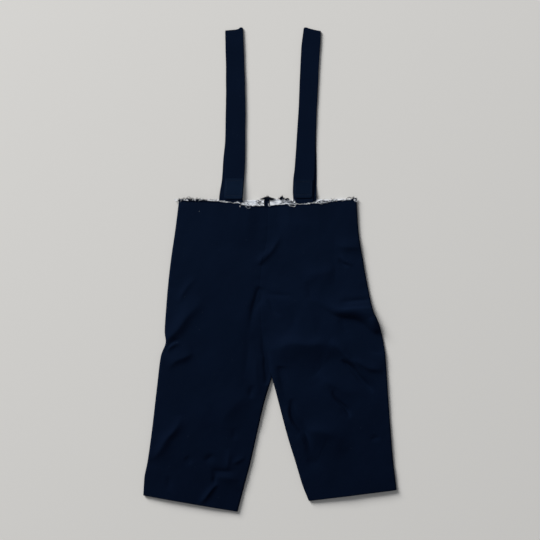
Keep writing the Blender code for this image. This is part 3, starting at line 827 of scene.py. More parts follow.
    def grid(self) -> tuple[np.ndarray, np.ndarray]:
        """The panel's outer face. Points run across each row, and both side edges roll in a quarter ellipse
        to the seam half way up the edge.

        Returns:
            The points as (row, column, xyz), and the cloth's own places as (row, column, across and down).
        """
        knots, down = self.knots(), self.rows()
        crotch = knots[CROTCH_ROW]
        outer, inner = self.edges(down)
        width = np.linalg.norm(inner - outer, axis=1)[:, None]
        roll = smooth_step(crotch - self.crotch_ramp, crotch, down)[:, None]
        turn = np.linspace(0, math.pi / 2, self.roll_steps)
        rolled, drop = ROLL * (1 - np.cos(turn)), 1 - np.sin(turn)
        flat = ROLL * np.linspace(0, 1, self.roll_steps)
        outer_part = np.tile(rolled, (len(down), 1))
        inner_part = (flat * (1 - roll) + rolled * roll)[:, ::-1]
        columns = int(round(self.usual_width / self.spacing))
        middle = ROLL + (width - 2 * ROLL) * np.linspace(0, 1, columns + 1)[None, 1:-1]
        across = np.concatenate([outer_part, middle, width - inner_part], axis=1)
        drops = np.concatenate(
            [np.tile(drop, (len(down), 1)), np.zeros_like(middle), (drop * roll)[:, ::-1]], axis=1
        )
        share = across / width
        below = np.broadcast_to(down[:, None], across.shape)
        ease = self.crotch_ease * np.exp(-(((below - crotch) / self.crotch_ease_reach) ** 2))
        half_gap = SEWN_GAP / 2 + np.where(share > 0.5, ease, 0.0)
        xy = outer[:, None, :] + (inner - outer)[:, None, :] * share[:, :, None]
        x, y = xy[..., 0], xy[..., 1]
        ragged = Rumple(RAGGED_SEEDS[self.name], 2.5, 12, 0.16).at(x, np.zeros_like(x))
        y = y + ragged * smooth_step(self.ragged_reach, 0.0, below)
        turned = self.hem_drop(down)[:, None] * (1 - drops)
        if self.face is Face.FRONT:
            y = y + self.waist_rise(share, below)
            top = self.front_top(x, y, share, width - across, 1 - roll, below, width)
            z = top - drops * (top - SEAM_Z - half_gap) - turned
        else:
            lift = sum(fold_height(fold, x, y) for fold in BACK_FOLDS)
            lift = np.clip(lift, 0.0, self.lift_limit) * (1 - drops) * smooth_step(*self.lift_from, y)
            z = drops * (SEAM_Z - half_gap) + lift + turned
        return np.stack([x, y, z], axis=-1), np.stack([across, below], axis=-1)

    def hem_drop(self, down: np.ndarray) -> np.ndarray:
        """How far the fold of the hem has turned in: a quarter circle over the last of the panel.

        Args:
            down: Distance below the waist.

        Returns:
            Depths in mm.
        """
        share = np.clip((down - self.knots()[-1] + self.hem_round) / self.hem_round, 0, 1)
        return self.hem_round * (1 - np.sqrt(1 - share**2))

    def build(self) -> bpy.types.Object:
        """Makes the panel, whose inner face lies the cloth's wall inside the outer one.

        Returns:
            The panel.
        """
        outer, coords = self.grid()
        normal = facing(outer, self.face is Face.FRONT)
        to_hem = self.knots()[-1] - coords[..., 1:]
        doubled = smooth_step(self.hem_depth + self.hem_step, self.hem_depth, to_hem)
        inner = outer - normal * (self.cloth + (self.hem_cloth - self.cloth) * doubled)
        mesh = ClothMesh(f"{self.name}_panel")
        mesh.add_shell(outer, inner, coords)
        piece = mesh.build(self.finish)
        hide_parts(self.name)
        return piece


@dataclass
class ShoulderStrap:
    """One strap: a flattened tube of suiting, doubled over at the top, with a doubled end stitched on it."""

    side: Side
    finish: bpy.types.Material
    # the doubled end's suiting, in lighter tones that are painted sheen
    end_finish: bpy.types.Material
    stitch_finish: bpy.types.Material
    wall: float = 0.5
    spacing: float = 1.6
    turn_steps: int = 14
    face_steps: int = 14
    round_steps: int = 5
    hollow: float = 0.10  # how much flatter the tube is at its edges, as a share of half its thickness
    slant_length: float = 20.0  # the slant of the doubled top starts this far below it
    front_from: float = 290.0  # along the strap, past which it is rumpled
    rumple_limit: float = 0.2
    rumple_share: float = 0.8
    end_gap: float = 0.15  # the doubled end lies this far over the strap
    end_rows: int = 34
    end_columns: int = 36
    end_round: float = 0.7  # radius of its top's edges
    end_rim: float = 0.25
    end_dome: float = 0.75
    end_crowding: float = 1.35  # draws its columns to its sides
    furrow_depth: float = 0.22
    furrow_width: float = 0.9
    stitched_over_bottom: float = 5.2
    stitched_under_top: float = 3.0
    stitched_side: float = 0.42  # as a share of its width
    stitched_row: float = 0.40
    stitch_length: float = 2.0
    stitch_pitch: float = 2.8
    stitch_start: float = 0.4
    stitch_steps: int = 5
    stitch_radius: float = 0.17
    stitch_arch: float = 0.16
    stitch_height: float = 1.02  # over the strap

    def stretch(self, rows: Sequence[StrapRow]) -> np.ndarray:
        """Even steps along one stretch.

        Args:
            rows: The stretch's table.

        Returns:
            A row of y, middle x, width and z for each step.
        """
        table = np.array(rows)
        knots = np.abs(table[:, 0] - table[0, 0])
        places = np.linspace(0, knots[-1], int(knots[-1] / self.spacing))
        return np.stack([curve(knots, table[:, k], places) for k in range(4)], axis=-1)

    def spine(self) -> np.ndarray:
        """The strap's middle line from its back end to its front end: two stretches and a half circle.

        Returns:
            A row of y, middle x, width and z for each step.
        """
        back, front = self.stretch(STRAP_BACK[self.side]), self.stretch(STRAP_FRONT[self.side])
        radius, top = (ON_STRAP - ON_FLOOR) / 2, back[-1]
        turns = np.linspace(0, math.pi, self.turn_steps + 1)[1:-1]
        fold = np.tile(top, (len(turns), 1))
        fold[:, 0] += radius * np.sin(turns)
        fold[:, 3] = ON_FLOOR + radius * (1 - np.cos(turns))
        return np.concatenate([back, fold, front])

    def ring(self, width: np.ndarray, thickness: float) -> tuple[np.ndarray, np.ndarray]:
        """The tube's section: two flats joined by half circles, with the flats a little fuller in the middle.

        Args:
            width: Width of each row in mm.
            thickness: Thickness of the section in mm.

        Returns:
            Places across the strap and square to it, each as (row, point).
        """
        half = thickness / 2
        flat = np.linspace(-1, 1, self.face_steps)
        turns = np.linspace(math.pi / 2, -math.pi / 2, self.round_steps + 2)[1:-1]
        run = width[:, None] / 2 - half
        full = half * (1 - self.hollow * flat**6)
        bulge = np.cos(turns) * half
        across = np.concatenate([run * flat, run + bulge, run * flat[::-1], -run - bulge], axis=1)
        out = np.concatenate([full, np.sin(turns) * half, -full[::-1], -np.sin(turns) * half])
        return across, np.broadcast_to(out, across.shape)

    def tube(self, spine: np.ndarray, thickness: float, narrower: float) -> np.ndarray:
        """The points of the tube: each ring square to the spine, with a slanted top and a rumpled front.

        Args:
            spine: The strap's middle line.
            thickness: Thickness of the section in mm.
            narrower: How much narrower than the strap it is.

        Returns:
            Points as (row, point, xyz).
        """
        y, middle, width, height = (spine[:, k : k + 1] for k in range(4))
        ahead = np.gradient(spine[:, [0, 3]], axis=0)
        ahead /= np.linalg.norm(ahead, axis=1, keepdims=True)
        top = y.max() - (ON_STRAP - ON_FLOOR) / 2
        rumple, slant = STRAP_EDGES[self.side], STRAP_SLANT[self.side]
        uneven = width[:, 0] + rumple.at(y[:, 0], np.full(len(spine), 3.0)) - narrower
        across, out = self.ring(uneven, thickness)
        share = np.clip(across / width + 0.5, 0, 1)
        reach = curve(np.linspace(0, 1, len(slant)), slant, share)
        reach = reach * smooth_step(top - self.slant_length, top, y)
        bump = np.clip(rumple.at(across, np.broadcast_to(y, across.shape)), 0, self.rumple_limit)
        run = np.cumsum(np.abs(np.diff(y[:, 0], prepend=y[0, 0])))[:, None]
        bump = bump * self.rumple_share * (run > self.front_from)
        return np.stack(
            [middle + across, y + out * ahead[:, 1:2] + reach, height - out * ahead[:, 0:1] + bump], axis=-1
        )

    def band(self) -> bpy.types.Object:
        """Makes the strap itself: an outer tube with an inner one as its hollow.

        Returns:
            The strap.
        """
        spine = self.spine()
        outer = self.tube(spine, STRAP_CLOTH, 0.0)
        inner = self.tube(spine, STRAP_CLOTH - 2 * self.wall, 2 * self.wall)
        steps = np.diff(spine[:, [0, 3]], axis=0, prepend=spine[:1, [0, 3]])
        length = np.cumsum(np.linalg.norm(steps, axis=1))[:, None]
        across = outer[..., 0] - spine[:, 1:2]
        mesh = ClothMesh(f"strap_{self.side.value}_band")
        coords = np.stack([across, np.broadcast_to(length, across.shape)], axis=-1)
        mesh.add_shell(outer, inner, coords, loop=True)
        piece = mesh.build(self.finish)
        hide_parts(f"strap_{self.side.value}")
        return piece

    def middle_at(self, y: np.ndarray) -> tuple[np.ndarray, np.ndarray]:
        """The middle x and the height of the strap's front stretch at y."""
        table = np.array(STRAP_FRONT[self.side])
        middle, height = (curve(-table[:, 0], table[:, k], -y) for k in (1, 3))
        return middle, height

    def doubled_end(self) -> bpy.types.Object:
        """Makes the doubled end: a slab with rounded lower corners, whose top falls to its edges in a quarter
        circle, with a furrow, exp(-(distance / width) ** 2), along each row of stitches across it.

        Returns:
            The end.
        """
        end = STRAP_ENDS[self.side]
        tall = end.top_y - end.bottom_y
        edge = self.end_round * (1 - np.cos(np.linspace(0, math.pi / 2, 6)))
        inside = np.linspace(edge[-1], tall - edge[-1], self.end_rows)
        y = end.top_y - np.concatenate([edge[:-1], inside, tall - edge[:-1][::-1]])
        place = np.linspace(-1, 1, self.end_columns)
        place = np.sign(place) * (1 - (1 - np.abs(place)) ** self.end_crowding)
        middle, height = self.middle_at(y)
        to_bottom = np.clip(y - end.bottom_y, 0, end.corner)
        half = end.width / 2 - end.corner + np.sqrt(end.corner**2 - (end.corner - to_bottom) ** 2)
        x = (middle + end.shift)[:, None] + half[:, None] * place
        floor = (height + STRAP_CLOTH / 2 + self.end_gap)[:, None]
        to_end = np.minimum(end.top_y - y, y - end.bottom_y)[:, None]
        to_edge = np.minimum(half[:, None] * (1 - np.abs(place)), to_end)
        dome = np.sqrt(np.clip(1 - (1 - np.clip(to_edge / self.end_round, 0, 1)) ** 2, 0, 1))
        furrow = sum(
            self.furrow_depth * np.exp(-(((y[:, None] - at) / self.furrow_width) ** 2))
            for at in self.stitched_rows()
        )
        z = floor + self.end_rim + self.end_dome * dome - furrow + STRAP_END_SOFT.at(x, y[:, None] + 0 * x)
        grid = np.stack([x, np.broadcast_to(y[:, None], x.shape), z], axis=-1)
        under = grid.copy()
        under[..., 2] = np.broadcast_to(floor, x.shape)
        mesh = ClothMesh(f"strap_end_{self.side.value}_cloth")
        mesh.add_shell(grid, under, np.stack([x, grid[..., 1]], axis=-1))
        piece = mesh.build(self.end_finish)
        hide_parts(f"strap_end_{self.side.value}")
        return piece

    def stitched_rows(self) -> tuple[float, float]:
        """y of the lower and the upper row of stitches across the doubled end."""
        end = STRAP_ENDS[self.side]
        return end.bottom_y + self.stitched_over_bottom, end.top_y - self.stitched_under_top

    def stitches(self) -> bpy.types.Object:
        """Makes the stitches of the doubled end: short arches, half a sine wave each, along four lines.

        Returns:
            The stitches.
        """
        end, (low, high) = STRAP_ENDS[self.side], self.stitched_rows()
        lines = [(-self.stitched_row, at, self.stitched_row, at) for at in (low, high)]
        lines += [(across, low, across, high) for across in (-self.stitched_side, self.stitched_side)]
        arch = np.sin(np.linspace(0, math.pi, self.stitch_steps)) * self.stitch_arch
        paths = []
        for share_0, y_0, share_1, y_1 in lines:
            run = math.hypot((share_1 - share_0) * end.width, y_1 - y_0)
            starts = np.arange(self.stitch_start, run - self.stitch_length, self.stitch_pitch) / run
            along = starts[:, None] + np.linspace(0, self.stitch_length / run, self.stitch_steps)
            y = y_0 + (y_1 - y_0) * along
            middle, height = self.middle_at(y)
            x = middle + end.shift + (share_0 + (share_1 - share_0) * along) * end.width
            paths.append(np.stack([x, y, height + STRAP_CLOTH / 2 + self.stitch_height + arch], axis=-1))
        joined = np.concatenate(paths)
        thread = ClothMesh(f"strap_end_{self.side.value}_stitches")
        thread.add_tubes(joined, np.full(joined.shape[:2], self.stitch_radius))
        sewn = thread.build(self.stitch_finish)
        return sewn

    def build(self) -> bpy.types.Object:
        """Returns:
            The strap.
        """
        band, cloth, sewn = self.band(), self.doubled_end(), self.stitches()
        return band


@dataclass
class Interlining:
    """A white strip on the inner face of a back panel, whose ragged top edge shows above the front waist."""

    side: Side
    finish: bpy.types.Material
    cloth: float = 0.5
    bottom_y: float = LINING_BOTTOM_Y
    columns: int = 260
    rows: int = 34
    crowding: float = 1.3  # draws its rows to the cut edge
    pressed_y: float = 90.0  # where the straps' press is read
    wave_rise: float = 0.3
    wave_limit: float = 1.2

    def ends(self) -> tuple[float, float]:
        """x of both ends of the strip."""
        edge = INTERLINING_EDGES[self.side]
        return edge[0].x, edge[-1].x

    def top_at(self, x: np.ndarray) -> np.ndarray:
        """Height of the ragged edge: the table's curve and two rumples, one of them as fine as the threads.

        Args:
            x: Places along it in mm.

        Returns:
            y in mm.
        """
        table = np.array(INTERLINING_EDGES[self.side])
        still = np.zeros_like(x)
        rough, fine = (rumple.at(x, still) for rumple in LINING_RAGGED)
        return curve(table[:, 0], table[:, 1], x) + (rough + fine)

    def build(self) -> bpy.types.Object:
        """Makes the strip: rows from the ragged edge down, a little wavy where no strap presses on it.

        Returns:
            The strip.
        """
        x = np.linspace(*self.ends(), self.columns)
        rows = np.linspace(0, 1, self.rows)[:, None] ** self.crowding
        y = self.top_at(x) * (1 - rows) + self.bottom_y * rows
        x = np.broadcast_to(x, y.shape)
        free = 1 - over_straps(x, np.full(x.shape, self.pressed_y))
        wave = np.clip(LINING_WAVE.at(x, y) + self.wave_rise, 0, self.wave_limit)
        outer = np.stack([x, y, INNER_FLOOR + self.cloth + free * wave], axis=-1)
        inner = outer - facing(outer, True) * self.cloth
        mesh = ClothMesh(f"interlining_{self.side.value}_strip")
        mesh.add_shell(outer, inner, np.stack([x, y], axis=-1))
        piece = mesh.build(self.finish)
        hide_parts(f"interlining_{self.side.value}")
        return piece


class Tangle(NamedTuple):
    """A stretch of the waist where loose threads of one kind leave the cloth.

    out is how far past the front's edge they start, lift how far over its wall, and along the share of them
    that lie matted along the edge. curl and lean are in degrees.
    """

    low_x: float
    high_x: float
    count: int
    longest: float
    curl: float
    lean: float
    out: float
    lift: float
    along: float


class Curl(NamedTuple):
    """A curled thread: an arc whose centre drifts, with degrees for its start and sweep."""

    x: float
    y: float
    radius: float
    start: float
    sweep: float
    drift_x: float
    drift_y: float
    lift: float


class Strand(NamedTuple):
    """A thread along a bent line, which lies lift over what is under it."""

    lift: float
    line: tuple[tuple[float, float], ...]


class Spray(NamedTuple):
    """A tuft that parts to both sides and peaks in its middle.

    reach is half its width, and thick half that of its root.
    """

    x: float
    y: float
    reach: float
    thick: float
    peak: float
    count: int
    z: float


@dataclass(frozen=True)
class LooseThreads:
    """The loose threads of one kind all along the waist, with the radius and seed that they share."""

    kind: str
    slot: str
    radius: float
    seed: int
    tangles: tuple[Tangle, ...]
    curls: tuple[Curl, ...]
    strands: tuple[Strand, ...] = ()
    sprays: tuple[Spray, ...] = ()


WHITE_THREADS = LooseThreads(
    "white",
    "white_cotton",
    0.26,
    100,
    tangles=(
        Tangle(-116, -76, 46, 2, 200, 70, 0.6, 0.8, 0.4),
        Tangle(-76, -41, 16, 3.2, 90, 60, 0.3, 0.2, 0.8),
        Tangle(-43, -9, 60, 4.6, 260, 80, 0.6, 0, 0.45),
        Tangle(-1, 17, 26, 3.4, 200, 70, 0.6, 0, 0.6),
        Tangle(17, 38, 34, 3.6, 320, 70, 1.2, 0, 0.2),
        Tangle(38, 69, 14, 3.2, 90, 60, 0.3, 0.2, 0.8),
        Tangle(69, 129, 104, 3.6, 220, 70, 0.6, 0, 0.6),
        Tangle(-136, -116, 10, 2, 200, 70, 0.6, 0.8, 0.4),
    ),
    curls=(
        Curl(-138.6, 104.4, 1.7, 60, 300, -1, 0.2, 0.2),
        Curl(-141, 103.6, 1.6, 160, 60, 1, 0, 0.2),
        Curl(-142, 105.2, 1.1, 0, 250, 0.6, 0, 0.2),
        Curl(127.6, 106.4, 1.9, 200, 340, 0.6, -0.6, 0.4),
        Curl(126, 103.8, 1.3, 20, 280, 0.8, 0.6, 0.6),
        Curl(128.6, 104.6, 2.9, 40, 330, 0.3, -0.3, 0.5),
        Curl(128, 103.4, 1.8, 300, 300, 0.4, 0.3, 0.6),
        Curl(-1, 97.4, 2, 100, 170, 0.8, -0.8, 0.7),
        Curl(36.4, 101.4, 1.1, 0, 330, 0.4, 0.2, 0.6),
        Curl(36.8, 100.8, 0.6, 0, 330, 0.3, 0.2, 0.6),
        Curl(-44.2, 95.2, 0.9, 120, 150, 0.2, -0.2, 0.5),
        Curl(-38.5, 98.8, 1.9, 200, 260, 1, 0.4, 0.7),
        Curl(-106, 87.6, 0.3, 0, 150, 0.2, 0.2, 0.3),
        Curl(74, 101.2, 1.9, 160, 340, 2.8, 0.2, 0.7),
        Curl(79.5, 101.4, 1.6, 10, 350, 2.6, 0.3, 0.7),
        Curl(85, 102, 1.5, 200, 340, 2.2, 0.3, 0.7),
        Curl(-68.5, 102.6, 1, 0, 330, 0.4, 0, 0.5),
    ),
    strands=(
        Strand(0.25, ((-78, 105.2), (-75, 102.6), (-63, 101.4), (-51, 100.2), (-40.5, 99.8))),
        Strand(0.3, ((37.5, 99.2), (44, 98.5), (52, 98.7), (61, 100), (70, 101.3))),
        Strand(0.3, ((70, 103.2), (84, 104), (98, 104.4), (112, 105.6), (125, 106.4))),
        Strand(0.2, ((70, 101.6), (80, 102.8), (92, 103.6), (104, 104.6))),
        Strand(0.5, ((-43.5, 98.6), (-41, 97.2), (-38.5, 97.8), (-36, 96.2))),
        Strand(0.6, ((27.6, 99.8), (28.8, 96.6), (32.4, 95), (36.8, 95.4), (39.8, 98.6))),
        Strand(0.3, ((-76.5, 104.8), (-74.5, 102.8), (-71, 103.2), (-68, 102))),
    ),
)
# White cotton threads in a darker tone: painted shade, where shade falls on them at the waist
SHADED_WHITE_THREADS = LooseThreads(
    "shaded_white",
    "white_cotton",
    0.22,
    200,
    tangles=(
        Tangle(-134, -78, 30, 3, 200, 50, 0.8, 0, 0.4),
        Tangle(-40, -30, 8, 3, 300, 120, 0, 0.3, 0.3),
        Tangle(17, 38, 34, 4.6, 320, 90, 1, 0.1, 0.2),
        Tangle(71, 126, 34, 3.4, 240, 80, 0.4, 0.1, 0.3),
    ),
    curls=(
        Curl(-32.6, 94.9, 3.3, 120, 340, 0.6, -0.4, 0.5),
        Curl(-36.6, 96.9, 2.3, 250, 200, 0.6, -0.4, 0.6),
        Curl(-33.6, 96.9, 2.6, 60, 170, -0.5, 0, 0.7),
        Curl(22, 102.2, 2.4, 60, 330, 2.4, 0.6, 0.3),
        Curl(25, 104.2, 2, 200, 350, 2, -0.4, 0.2),
        Curl(19, 103.8, 1.7, 20, 260, 1.2, 1, 0.2),
        Curl(28.5, 101.2, 2.5, 100, 340, -1.6, 0.8, 0.4),
        Curl(35, 102.6, 2, 240, 300, 1, 1, 0.5),
        Curl(75, 100.2, 1.8, 160, 300, 3.5, -0.6, 0.6),
        Curl(83, 101, 1.5, 40, 330, 2.4, 0.3, 0.6),
        Curl(-80, 103.2, 1.1, 0, 300, 2, 0.2, 0.3),
        Curl(-98, 104.4, 1, 60, 280, 2.6, 0, 0.3),
        Curl(-112, 104.8, 1.2, 200, 260, 2.2, 0.4, 0.3),
        Curl(-124, 105.6, 1.3, 100, 300, 2, 0.3, 0),
        Curl(-140.8, 104.6, 1.7, 110, 260, 1.2, -0.5, 0.2),
        Curl(-142.4, 105.4, 1, 30, 240, 0.8, -0.4, 0.2),
    ),
)
NAVY_THREADS = LooseThreads(
    "navy",
    "suiting",
    0.26,
    300,
    tangles=(
        Tangle(-137, -104, 150, 6, 120, 45, 0.4, 0.2, 0.3),
        Tangle(-137, -104, 48, 3, 140, 60, 1.6, -0.4, 0.7),
        Tangle(-104, -76, 120, 3.6, 160, 55, 0.6, 0.2, 0.4),
        Tangle(70, 98, 70, 4, 60, 60, 1.6, 0.3, 0.9),
        Tangle(-76, -41, 30, 2.4, 60, 60, 1, 0, 0.8),
        Tangle(-42, -32, 50, 3.6, 260, 80, 1.8, -0.4, 0.4),
        Tangle(-18, -9, 26, 3.6, 260, 80, 5.6, -1.2, 0.2),
        Tangle(17, 38, 130, 4.2, 300, 90, 3.4, -0.6, 0.4),
        Tangle(38, 69, 30, 2.4, 60, 60, 1, 0, 0.8),
        Tangle(69, 129, 80, 2.8, 160, 60, 0.5, 0.1, 0.6),
        Tangle(122, 130, 44, 3.6, 260, 80, 1.2, 0, 0.3),
    ),
    curls=(
        Curl(-122, 106.4, 2.8, 205, -150, 0.6, 1.5, 0),
        Curl(-129, 105.6, 2.2, 210, -150, 0.6, 1, 0),
        Curl(-118, 106.4, 1.9, 20, 210, -0.6, 0, 0),
        Curl(127.6, 106.6, 2.6, 180, 300, 0.4, -0.4, 0),
        Curl(119.5, 106.8, 2, 330, 190, -1, 0.2, 0),
        Curl(31.4, 98.4, 2.9, 190, 340, 1.2, 0.4, 0.5),
        Curl(32.4, 99.6, 1.5, 20, 350, 2, -0.2, 0.5),
        Curl(33.6, 98.4, 1.6, 200, 350, -1.6, 0.2, 0.6),
        Curl(-35.4, 102.6, 1.3, 0, 340, 0.6, 0, 0.6),
        Curl(-34.8, 102.2, 0.7, 90, 330, 0.4, 0.2, 0.6),
    ),
    strands=(
        Strand(0.2, ((-18.8, 104.6), (-17, 102.4), (-15.2, 100.4))),
        Strand(0.2, ((-17.4, 104.8), (-16.2, 102.8), (-13.8, 102))),
        Strand(0, ((113.4, 105.8), (115.8, 107.9), (119.5, 109), (123.6, 108.8), (126.6, 106.8))),
        Strand(0, ((11.6, 104.6), (12.3, 107), (13.2, 109.4))),
        Strand(-0.2, ((-136, 105.4), (-122, 106.2), (-104, 105.4), (-88, 104.9), (-77, 104))),
    ),
    sprays=(
        Spray(-3.4, 107.2, 12.5, 1.5, 4.6, 280, 3),
        Spray(18.2, 106.6, 5, 1.9, 5, 150, 3),
        Spray(26, 105.4, 3.4, 1.4, 2.2, 80, 3),
        Spray(-123, 105.2, 6, 0.9, 4.8, 46, 3.4),
        Spray(-128.5, 105, 4, 0.8, 3.2, 30, 3.4),
        Spray(-110.5, 104.8, 4, 0.7, 2.8, 30, 3.4),
    ),
)

# What each way of making threads adds to their kind's seed, and the seeds of the interlinings' threads
STRAND_SEED = 40
SPRAY_SEED = 60
RADIUS_SEED = 80
LINING_SEEDS = {Side.RIGHT: 600, Side.LEFT: 700}
LINING_RADIUS_SEED = 610


@dataclass
class WaistEdge:
    """All that frays out of the raw waist: threads of both fronts, of the back and of the interlinings."""

    fronts: dict[Side, LegPanel]
    linings: dict[Side, Interlining]
    finishes: dict[str, bpy.types.Material]
    split_x: float = -3.0  # the rise, between the wearer's right and left
    edge_rest: float = 0.4  # threads lie level as far past the edge as this
    slope: float = 0.4  # and then sink this much a mm
    lowest: float = 1.9
    steps: int = 13
    shortest: float = 0.8
    short_bias: float = 1.6  # above 1, short threads are the commoner
    tuft: int = 5  # threads to a tuft
    tuft_width: float = 1.6
    matted_stretch: float = 1.7  # how much longer matted threads are
    matted_spread: float = 14.0  # degrees that they stray from the edge's line
    matted_turn: float = 0.25  # how much less they curl
    wave: float = 0.7
    wave_turns: tuple[float, float] = (2.0, 7.0)
    out_shares: tuple[float, float] = (0.2, 1.2)
    inside: float = 0.7  # no thread reaches further inside the edge, give or take a ripple
    inside_ripple: float = 0.3
    inside_turns: float = 2.1
    arch: float = 0.6
    lifts: tuple[float, float] = (-0.2, 0.4)
    curl_steps: int = 26
    curl_shrink: float = 0.25
    curl_lift: float = 0.3
    strand_steps: int = 60
    strand_lift: float = 0.3
    strand_lift_y: float = 40.0  # where a strand's wave is read for its height
    spray_steps: int = 11
    spray_narrowing: float = 0.6
    spray_fall: float = 0.8
    spray_arch: float = 0.5
    spray_bend: float = 0.9
    spray_turns: tuple[float, float] = (2.0, 5.0)
    spray_heights: tuple[float, float] = (-0.8, 0.6)
    thinner_at_end: float = 0.45
    end_count: int = 150
    end_steps: int = 9
    end_radius: float = 0.16
    end_z: float = 2.0
    end_root: float = 0.4  # inside the interlining's edge
    end_shortest: float = 0.4
    end_longer: float = 0.9
    end_lean: float = 35.0
    end_curl: float = 70.0
    weft_count: int = 46
    weft_steps: int = 21
    weft_radius: float = 0.26
    weft_z: float = 2.5
    weft_lengths: tuple[float, float] = (5.0, 14.0)
    weft_first: float = 0.3  # below the interlining's edge
    weft_depth: float = 7.5
    lining_from_x: float = -78.0  # the interlining shows from here on
    allowance_x: float = -4.7
    allowance_half: float = 3.5
    allowance_top_y: float = 107.6
    allowance_bottom_y: float = 60.0
    allowance_cloth: float = 0.7
    allowance_columns: int = 30
    allowance_rows: int = 60
    flap_height: float = 1.1
    flap_droop: float = 0.25
    ditch_depth: float = 0.7
    ditch_width: float = 0.16  # as a share of a flap

    def __post_init__(self) -> None:
        """Reads both fronts' cut edges as one line from -x to +x."""
        edge = np.concatenate([self.fronts[side].grid()[0][0] for side in Side])
        self.edge = edge[np.argsort(edge[:, 0])]

    def edge_y(self, x: np.ndarray) -> np.ndarray:
        """y of the fronts' cut edge at x."""
        return np.interp(x, self.edge[:, 0], self.edge[:, 1])

    def lay(self, x: np.ndarray, y: np.ndarray, lift: np.ndarray) -> np.ndarray:
        """Places a thread at the height of what is under it: the front's wall inside the edge, and past it
        lower by 0.4 mm for each mm, down to the interlining.

        Args:
            x: Places in mm.
            y: Places in mm.
            lift: How far over it the thread lies.

        Returns:
            Points in mm.
        """
        over = np.interp(x, self.edge[:, 0], self.edge[:, 2])
        past = np.clip(y - self.edge_y(x) - self.edge_rest, 0, None)
        return np.stack([x, y, np.maximum(over - self.slope * past + lift, self.lowest)], axis=-1)

    def tangle(self, row: Tangle, seed: int) -> np.ndarray:
        """Threads that leave the edge in small tufts: a heading plus a steady turn and a slow wave, summed
        step by step.

        Args:
            row: The stretch.
            seed: Picks them.

        Returns:
            Paths as (thread, step, xyz).
        """
        chance = np.random.default_rng(seed)
        count, along = row.count, np.linspace(0, 1, self.steps)
        tufts = chance.uniform(row.low_x, row.high_x, max(3, count // self.tuft))
        start = tufts[chance.integers(0, len(tufts), count)] + chance.normal(0, self.tuft_width, count)
        start = np.clip(start, row.low_x, row.high_x)[:, None]
        length = chance.random((count, 1)) ** self.short_bias
        length = self.shortest + (row.longest - self.shortest) * length
        matted = chance.random((count, 1)) < row.along
        heading = np.where(
            matted,
            chance.choice([-90.0, 90.0], (count, 1)) + chance.normal(0, self.matted_spread, (count, 1)),
            chance.normal(0, row.lean, (count, 1)),
        )
        length = np.where(matted, length * self.matted_stretch, length)
        turn = np.where(matted, self.matted_turn, 1.0) * chance.normal(0, row.curl, (count, 1))
        wave = chance.uniform(-self.wave, self.wave, (count, 1))
        wave = wave * np.sin(along * chance.uniform(*self.wave_turns, (count, 1)))
        angle = np.radians(heading + turn * along) + wave
        step = length / (self.steps - 1)
        x = start + np.cumsum(np.sin(angle) * step, axis=1)
        out = row.out * chance.uniform(*self.out_shares, (count, 1))
        y = self.edge_y(start) + out + np.cumsum(np.cos(angle) * step, axis=1)
        y = np.where(matted, y + self.edge_y(x) - self.edge_y(start), y)
        ripple = self.inside_ripple * np.sin(x * self.inside_turns + y)
        y = np.maximum(y, self.edge_y(x) - self.inside + ripple)
        arch = chance.uniform(0.0, self.arch, (count, 1)) * np.sin(along * math.pi)
        return self.lay(x, y, row.lift + chance.uniform(*self.lifts, (count, 1)) + arch)

    def curls(self, rows: Sequence[Curl]) -> np.ndarray:
        """Placed curls: a circle whose centre drifts and whose radius shrinks by a quarter.

        Args:
            rows: The curls.

        Returns:
            Paths as (thread, step, xyz).
        """
        x, y, radius, start, sweep, drift_x, drift_y, lift = np.array(rows).T[:, :, None]
        along = np.linspace(0, 1, self.curl_steps)
        angle = np.radians(start + sweep * along)
        radius = radius * (1 - self.curl_shrink * along)
        lift = lift + self.curl_lift * np.sin(angle * 0.5 + x)
        return self.lay(
            x + drift_x * along + radius * np.cos(angle), y + drift_y * along + radius * np.sin(angle), lift
        )

    def strands(self, rows: Sequence[Strand], seed: int) -> np.ndarray:
        """Placed strands: a smooth line through the points with a small seeded wave.

        Args:
            rows: The strands.
            seed: Picks the waves.

        Returns:
            Paths as (thread, step, xyz).
        """
        paths = []
        for number, row in enumerate(rows):
            knots = np.array(row.line)
            x = np.linspace(knots[0, 0], knots[-1, 0], self.strand_steps)
            wave = Rumple(seed + number, 1.5, 9, 0.3)
            y = curve(knots[:, 0], knots[:, 1], x) + wave.at(x, np.zeros_like(x))
            lift = row.lift + self.strand_lift * wave.at(x, np.full_like(x, self.strand_lift_y))
            paths.append(self.lay(x, y, lift))
        return np.stack(paths)

    def spray(self, row: Spray, seed: int) -> np.ndarray:
        """A tuft: threads that rise in an arc and fall to either side, the less the higher, each with its own
        bend.

        Args:
            row: The tuft.
            seed: Picks them.

        Returns:
            Paths as (thread, step, xyz).
        """
        chance = np.random.default_rng(seed)
        along = np.linspace(0, 1, self.spray_steps)
        way = chance.uniform(-1, 1, (row.count, 1))
        grow = chance.uniform(0.4, 1.0, (row.count, 1))
        x = row.x + chance.normal(0, 1.0, (row.count, 1)) + way * row.reach * grow * along
        rise = row.peak * (1 - np.abs(way)) ** 2.0 * grow
        narrow = 1 - self.spray_narrowing * along * np.abs(way)
        y = row.y + row.thick * chance.uniform(-1, 1, (row.count, 1)) * narrow
        fall = self.spray_fall * np.abs(way) * along * grow
        y = y + rise * along + self.spray_arch * np.sin(along * 3.0 + row.x) - fall
        bend = chance.uniform(-1, 1, (row.count, 2)) * self.spray_bend * grow
        x = x + bend[:, :1] * np.sin(along * chance.uniform(*self.spray_turns, (row.count, 1)))
        y = y + bend[:, 1:] * np.sin(along * chance.uniform(*self.spray_turns, (row.count, 1)))
        z = row.z + chance.uniform(*self.spray_heights, (row.count, 1))
        z = z + self.spray_arch * np.sin(along * 3.0)
        return np.stack([x, y, z + 0 * x], axis=-1)

